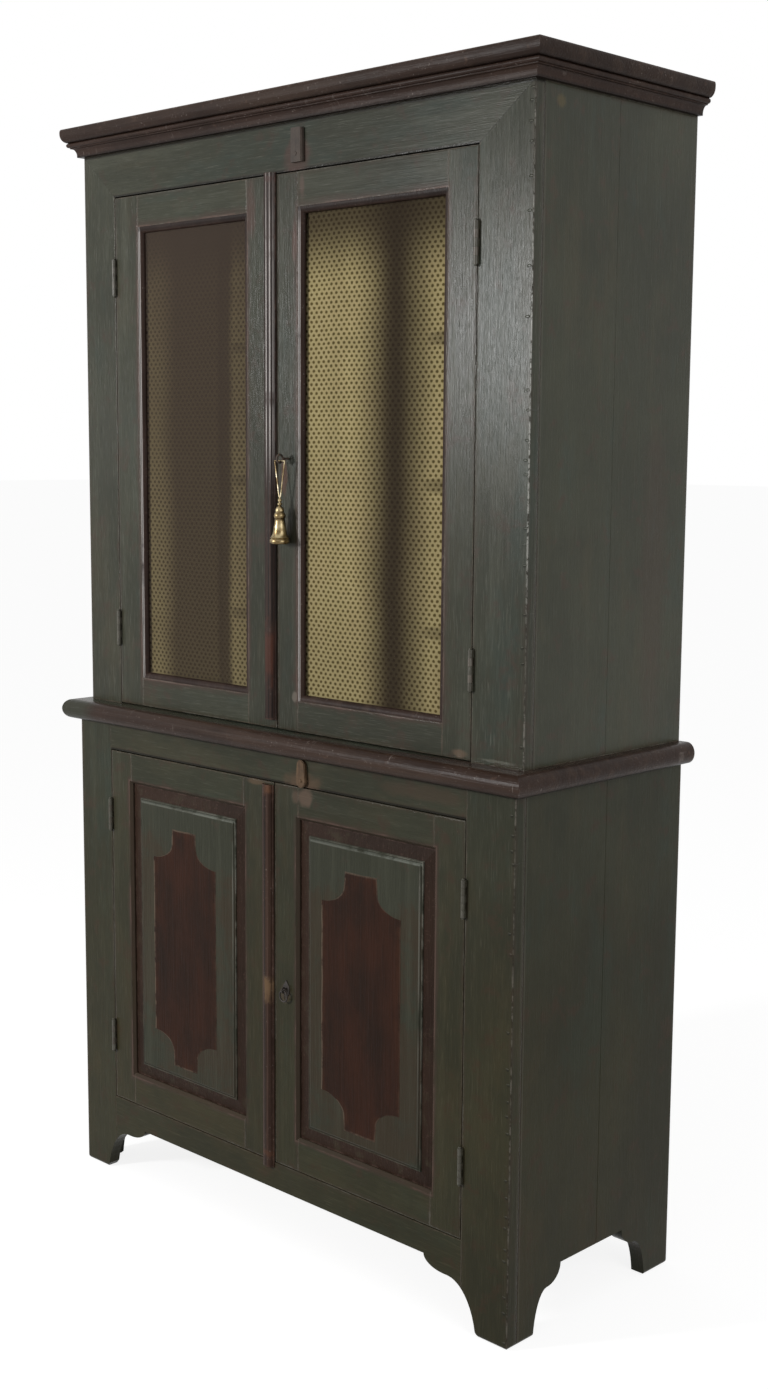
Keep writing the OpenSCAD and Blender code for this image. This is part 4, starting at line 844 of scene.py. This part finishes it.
def clothShadeAndSoil(s, door, sight):  # how dark the cloth is: painted shadow at the top, painted shade over the left pane and at the foot, painted shade bands, painted shelf shadows, and dirt
    left, right, bottom, top = sight
    look = clothLook
    cloud = s.noise(4.5, 3, 0.6, shift=(left, 1, 0))
    up = (s.z - bottom) / (top - bottom)
    start, full, share = look["topShade"]
    shadeAndSoil = (s.z.rise(top - start, top - full) * share).most(
        (look["dimFoot"] + up * look["dimLean"]) * look["dim"][door] * s.x.rise(left, left + look["dimSide"]))
    for at, outer, inner, share in look["shadeBands"][door]:  # upright bands of painted shade
        band = abs(s.x - at - (cloud - 0.5) * look["shadeBandRagged"]).rise(outer, inner)
        shadeAndSoil = 1 - (1 - shadeAndSoil) * (1 - band * share)
    first = boxOf("case_shelves")[0].z
    for rise in look["shelves"]:  # painted shadows of the shelves behind the cloth
        shelf = s.z.near(first + rise, look["shelfBlur"]) * look["shelfShare"]
        shadeAndSoil = shadeAndSoil.most(shelf * s.x.rise(left, right))
    start, full, share = look["footShade"]
    return shadeAndSoil.most(cloud.rise(0.55, 0.8) * 0.3).most(s.z.rise(bottom + start, bottom + full) * share)


def printedCloth(door, sight):
    left = sight[0]
    look = clothLook
    s = Shader("cloth_" + door)
    threads = (s.noise(700, 1, 0.5, stretch=(1, 1, 0.15)) * 0.5
               + s.noise(700, 1, 0.5, stretch=(0.15, 1, 1)) * 0.5)
    color = s.blend(threads.rise(0.4, 0.65), look["ground"], look["light"])
    color = s.blend(s.noise(10, 3, 0.6, shift=(left, 2, 0)).rise(0.40, 0.70) * 0.30, color, look["faded"])
    color = s.blend(printedDots(s, left) * 0.9, color, look["ink"])
    color = s.blend(clothShadeAndSoil(s, door, sight) * 0.97, color, look["shade"])
    return s.finish(color=color, roughness=0.9, gloss=0.03, normal=s.bump(threads, 0.0002, 0.6),
                    sheen=0.02, sheenRoughness=0.5)


def curtain(door, name):
    low, high = boxOf(door + "_cloth")
    look = clothLook
    width, height = high.x - low.x, high.z - low.z
    made = bmesh.new()
    bmesh.ops.create_grid(made, x_segments=look["columns"], y_segments=look["rows"], size=0.5)
    bmesh.ops.scale(made, vec=(width, height, 1), verts=made.verts)
    upright = Matrix.Rotation(math.radians(90), 3, "X")
    bmesh.ops.rotate(made, cent=(0, 0, 0), matrix=upright, verts=made.verts)
    bmesh.ops.translate(made, vec=(low + high) / 2, verts=made.verts)
    for vert in made.verts:  # faint upright pulls in the stretched cloth, none at its sides
        side = min(vert.co.x - low.x, high.x - vert.co.x) / width
        lean = look["pullLean"] * math.sin(vert.co.z * look["leanPulls"])
        wave = math.sin(vert.co.x * look["pulls"] + lean)
        vert.co.y += look["fold"] * min(1.0, side * look["calmSides"]) * wave
    mesh = bpy.data.meshes.new(name)
    made.to_mesh(mesh)
    made.free()
    for face in mesh.polygons:
        face.use_smooth = True
    piece = bpy.data.objects.new(name, mesh)
    bpy.context.collection.objects.link(piece)
    thick = piece.modifiers.new("thickness", "SOLIDIFY")
    thick.thickness = look["thick"]
    thick.offset = 0
    mesh.materials.append(printedCloth(door, sights[door]))
    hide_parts(door + "_cloth")
    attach(piece, door + "_door")


for door in ("upper_left", "upper_right"):
    curtain(door, door + "_curtain")
print("glass and cloth done")

# Floor, light and camera
stage = {"floorSize": 60.0, "floorTone": (0.30, 0.30, 0.30, 1), "floorGlow": 0.845, "fill": 0.40,
         "background": 1.0, "white": (1, 1, 1, 1)}
lights = {
    "window": {"at": (-1.55, -3.3, 1.91), "to": (0.5, -0.19, 1.6), "size": (0.36, 0.66), "power": 92.0},
    "farWindow": {"at": (-4.95, -3.3, 1.60), "to": (-0.5, -0.19, 1.5), "size": (0.4, 0.5), "power": 3.6},
    "room": {"at": (3.7, -0.6, 2.0), "to": (0.6, 0.0, 1.4), "size": (2.2, 2.2), "power": 47.0},
}
view = {"at": (2.3395, -2.3464, 1.4911), "yaw": 43.987, "pitch": 7.994, "roll": 0.392,
        "focalPixels": 1765.9, "pixelsWide": 768, "sensor": 36, "far": 200}


def seenDirectly(s):  # 1 for rays of the camera, of gloss and of glass
    camera, glossy, through = (s.node("ShaderNodeLightPath", output="Is %s Ray" % kind)
                               for kind in ("Camera", "Glossy", "Transmission"))
    return camera.most(glossy).most(through)


def paleFloor():
    made = bmesh.new()
    bmesh.ops.create_grid(made, x_segments=1, y_segments=1, size=stage["floorSize"])
    mesh = bpy.data.meshes.new("floor")
    made.to_mesh(mesh)
    made.free()
    floor = bpy.data.objects.new("floor", mesh)
    bpy.context.collection.objects.link(floor)
    s = Shader("floor_pale")
    matt = s.node("ShaderNodeBsdfDiffuse", inputs={"Color": stage["floorTone"]})
    glow = s.node("ShaderNodeEmission", inputs={"Color": stage["white"], "Strength": stage["floorGlow"]})
    both = s.node("ShaderNodeAddShader", inputs={0: matt, 1: glow})
    shown = s.node("ShaderNodeMixShader", inputs={0: seenDirectly(s), 1: matt, 2: both})
    mesh.materials.append(s.show(shown))


def paleWorld():
    s = Shader("studio", isWorld=True)
    strength = stage["fill"] + seenDirectly(s) * (stage["background"] - stage["fill"])
    return s.show(s.node("ShaderNodeBackground", inputs={"Color": stage["white"], "Strength": strength}))


def softLight(name, look):
    data = bpy.data.lights.new(name, "AREA")
    data.shape = "RECTANGLE"
    data.size, data.size_y = look["size"]
    data.energy = look["power"]
    lamp = bpy.data.objects.new(name, data)
    bpy.context.collection.objects.link(lamp)
    lamp.location = look["at"]
    lamp.rotation_euler = (Vector(look["to"]) - Vector(look["at"])).to_track_quat("-Z", "Y").to_euler()


def photoCamera():
    yaw, pitch, roll = (math.radians(view[turn]) for turn in ("yaw", "pitch", "roll"))
    ahead = Vector((-math.sin(yaw) * math.cos(pitch), math.cos(yaw) * math.cos(pitch), -math.sin(pitch)))
    right = Vector((math.cos(yaw), math.sin(yaw), 0))
    up = right.cross(ahead)
    right, up = right * math.cos(roll) + up * math.sin(roll), up * math.cos(roll) - right * math.sin(roll)
    data = bpy.data.cameras.new("camera")
    data.sensor_fit = "HORIZONTAL"
    data.sensor_width = view["sensor"]
    data.lens = view["focalPixels"] / view["pixelsWide"] * view["sensor"]
    data.clip_end = view["far"]
    camera = bpy.data.objects.new("camera", data)
    bpy.context.collection.objects.link(camera)
    camera.matrix_world = Matrix.Translation(view["at"]) @ Matrix((right, up, -ahead)).transposed().to_4x4()
    return camera


paleFloor()
for name, look in lights.items():
    softLight(name, look)
scene = bpy.context.scene
scene.world = paleWorld()
scene.camera = photoCamera()
scene.view_settings.view_transform = "Standard"
print("stage set")
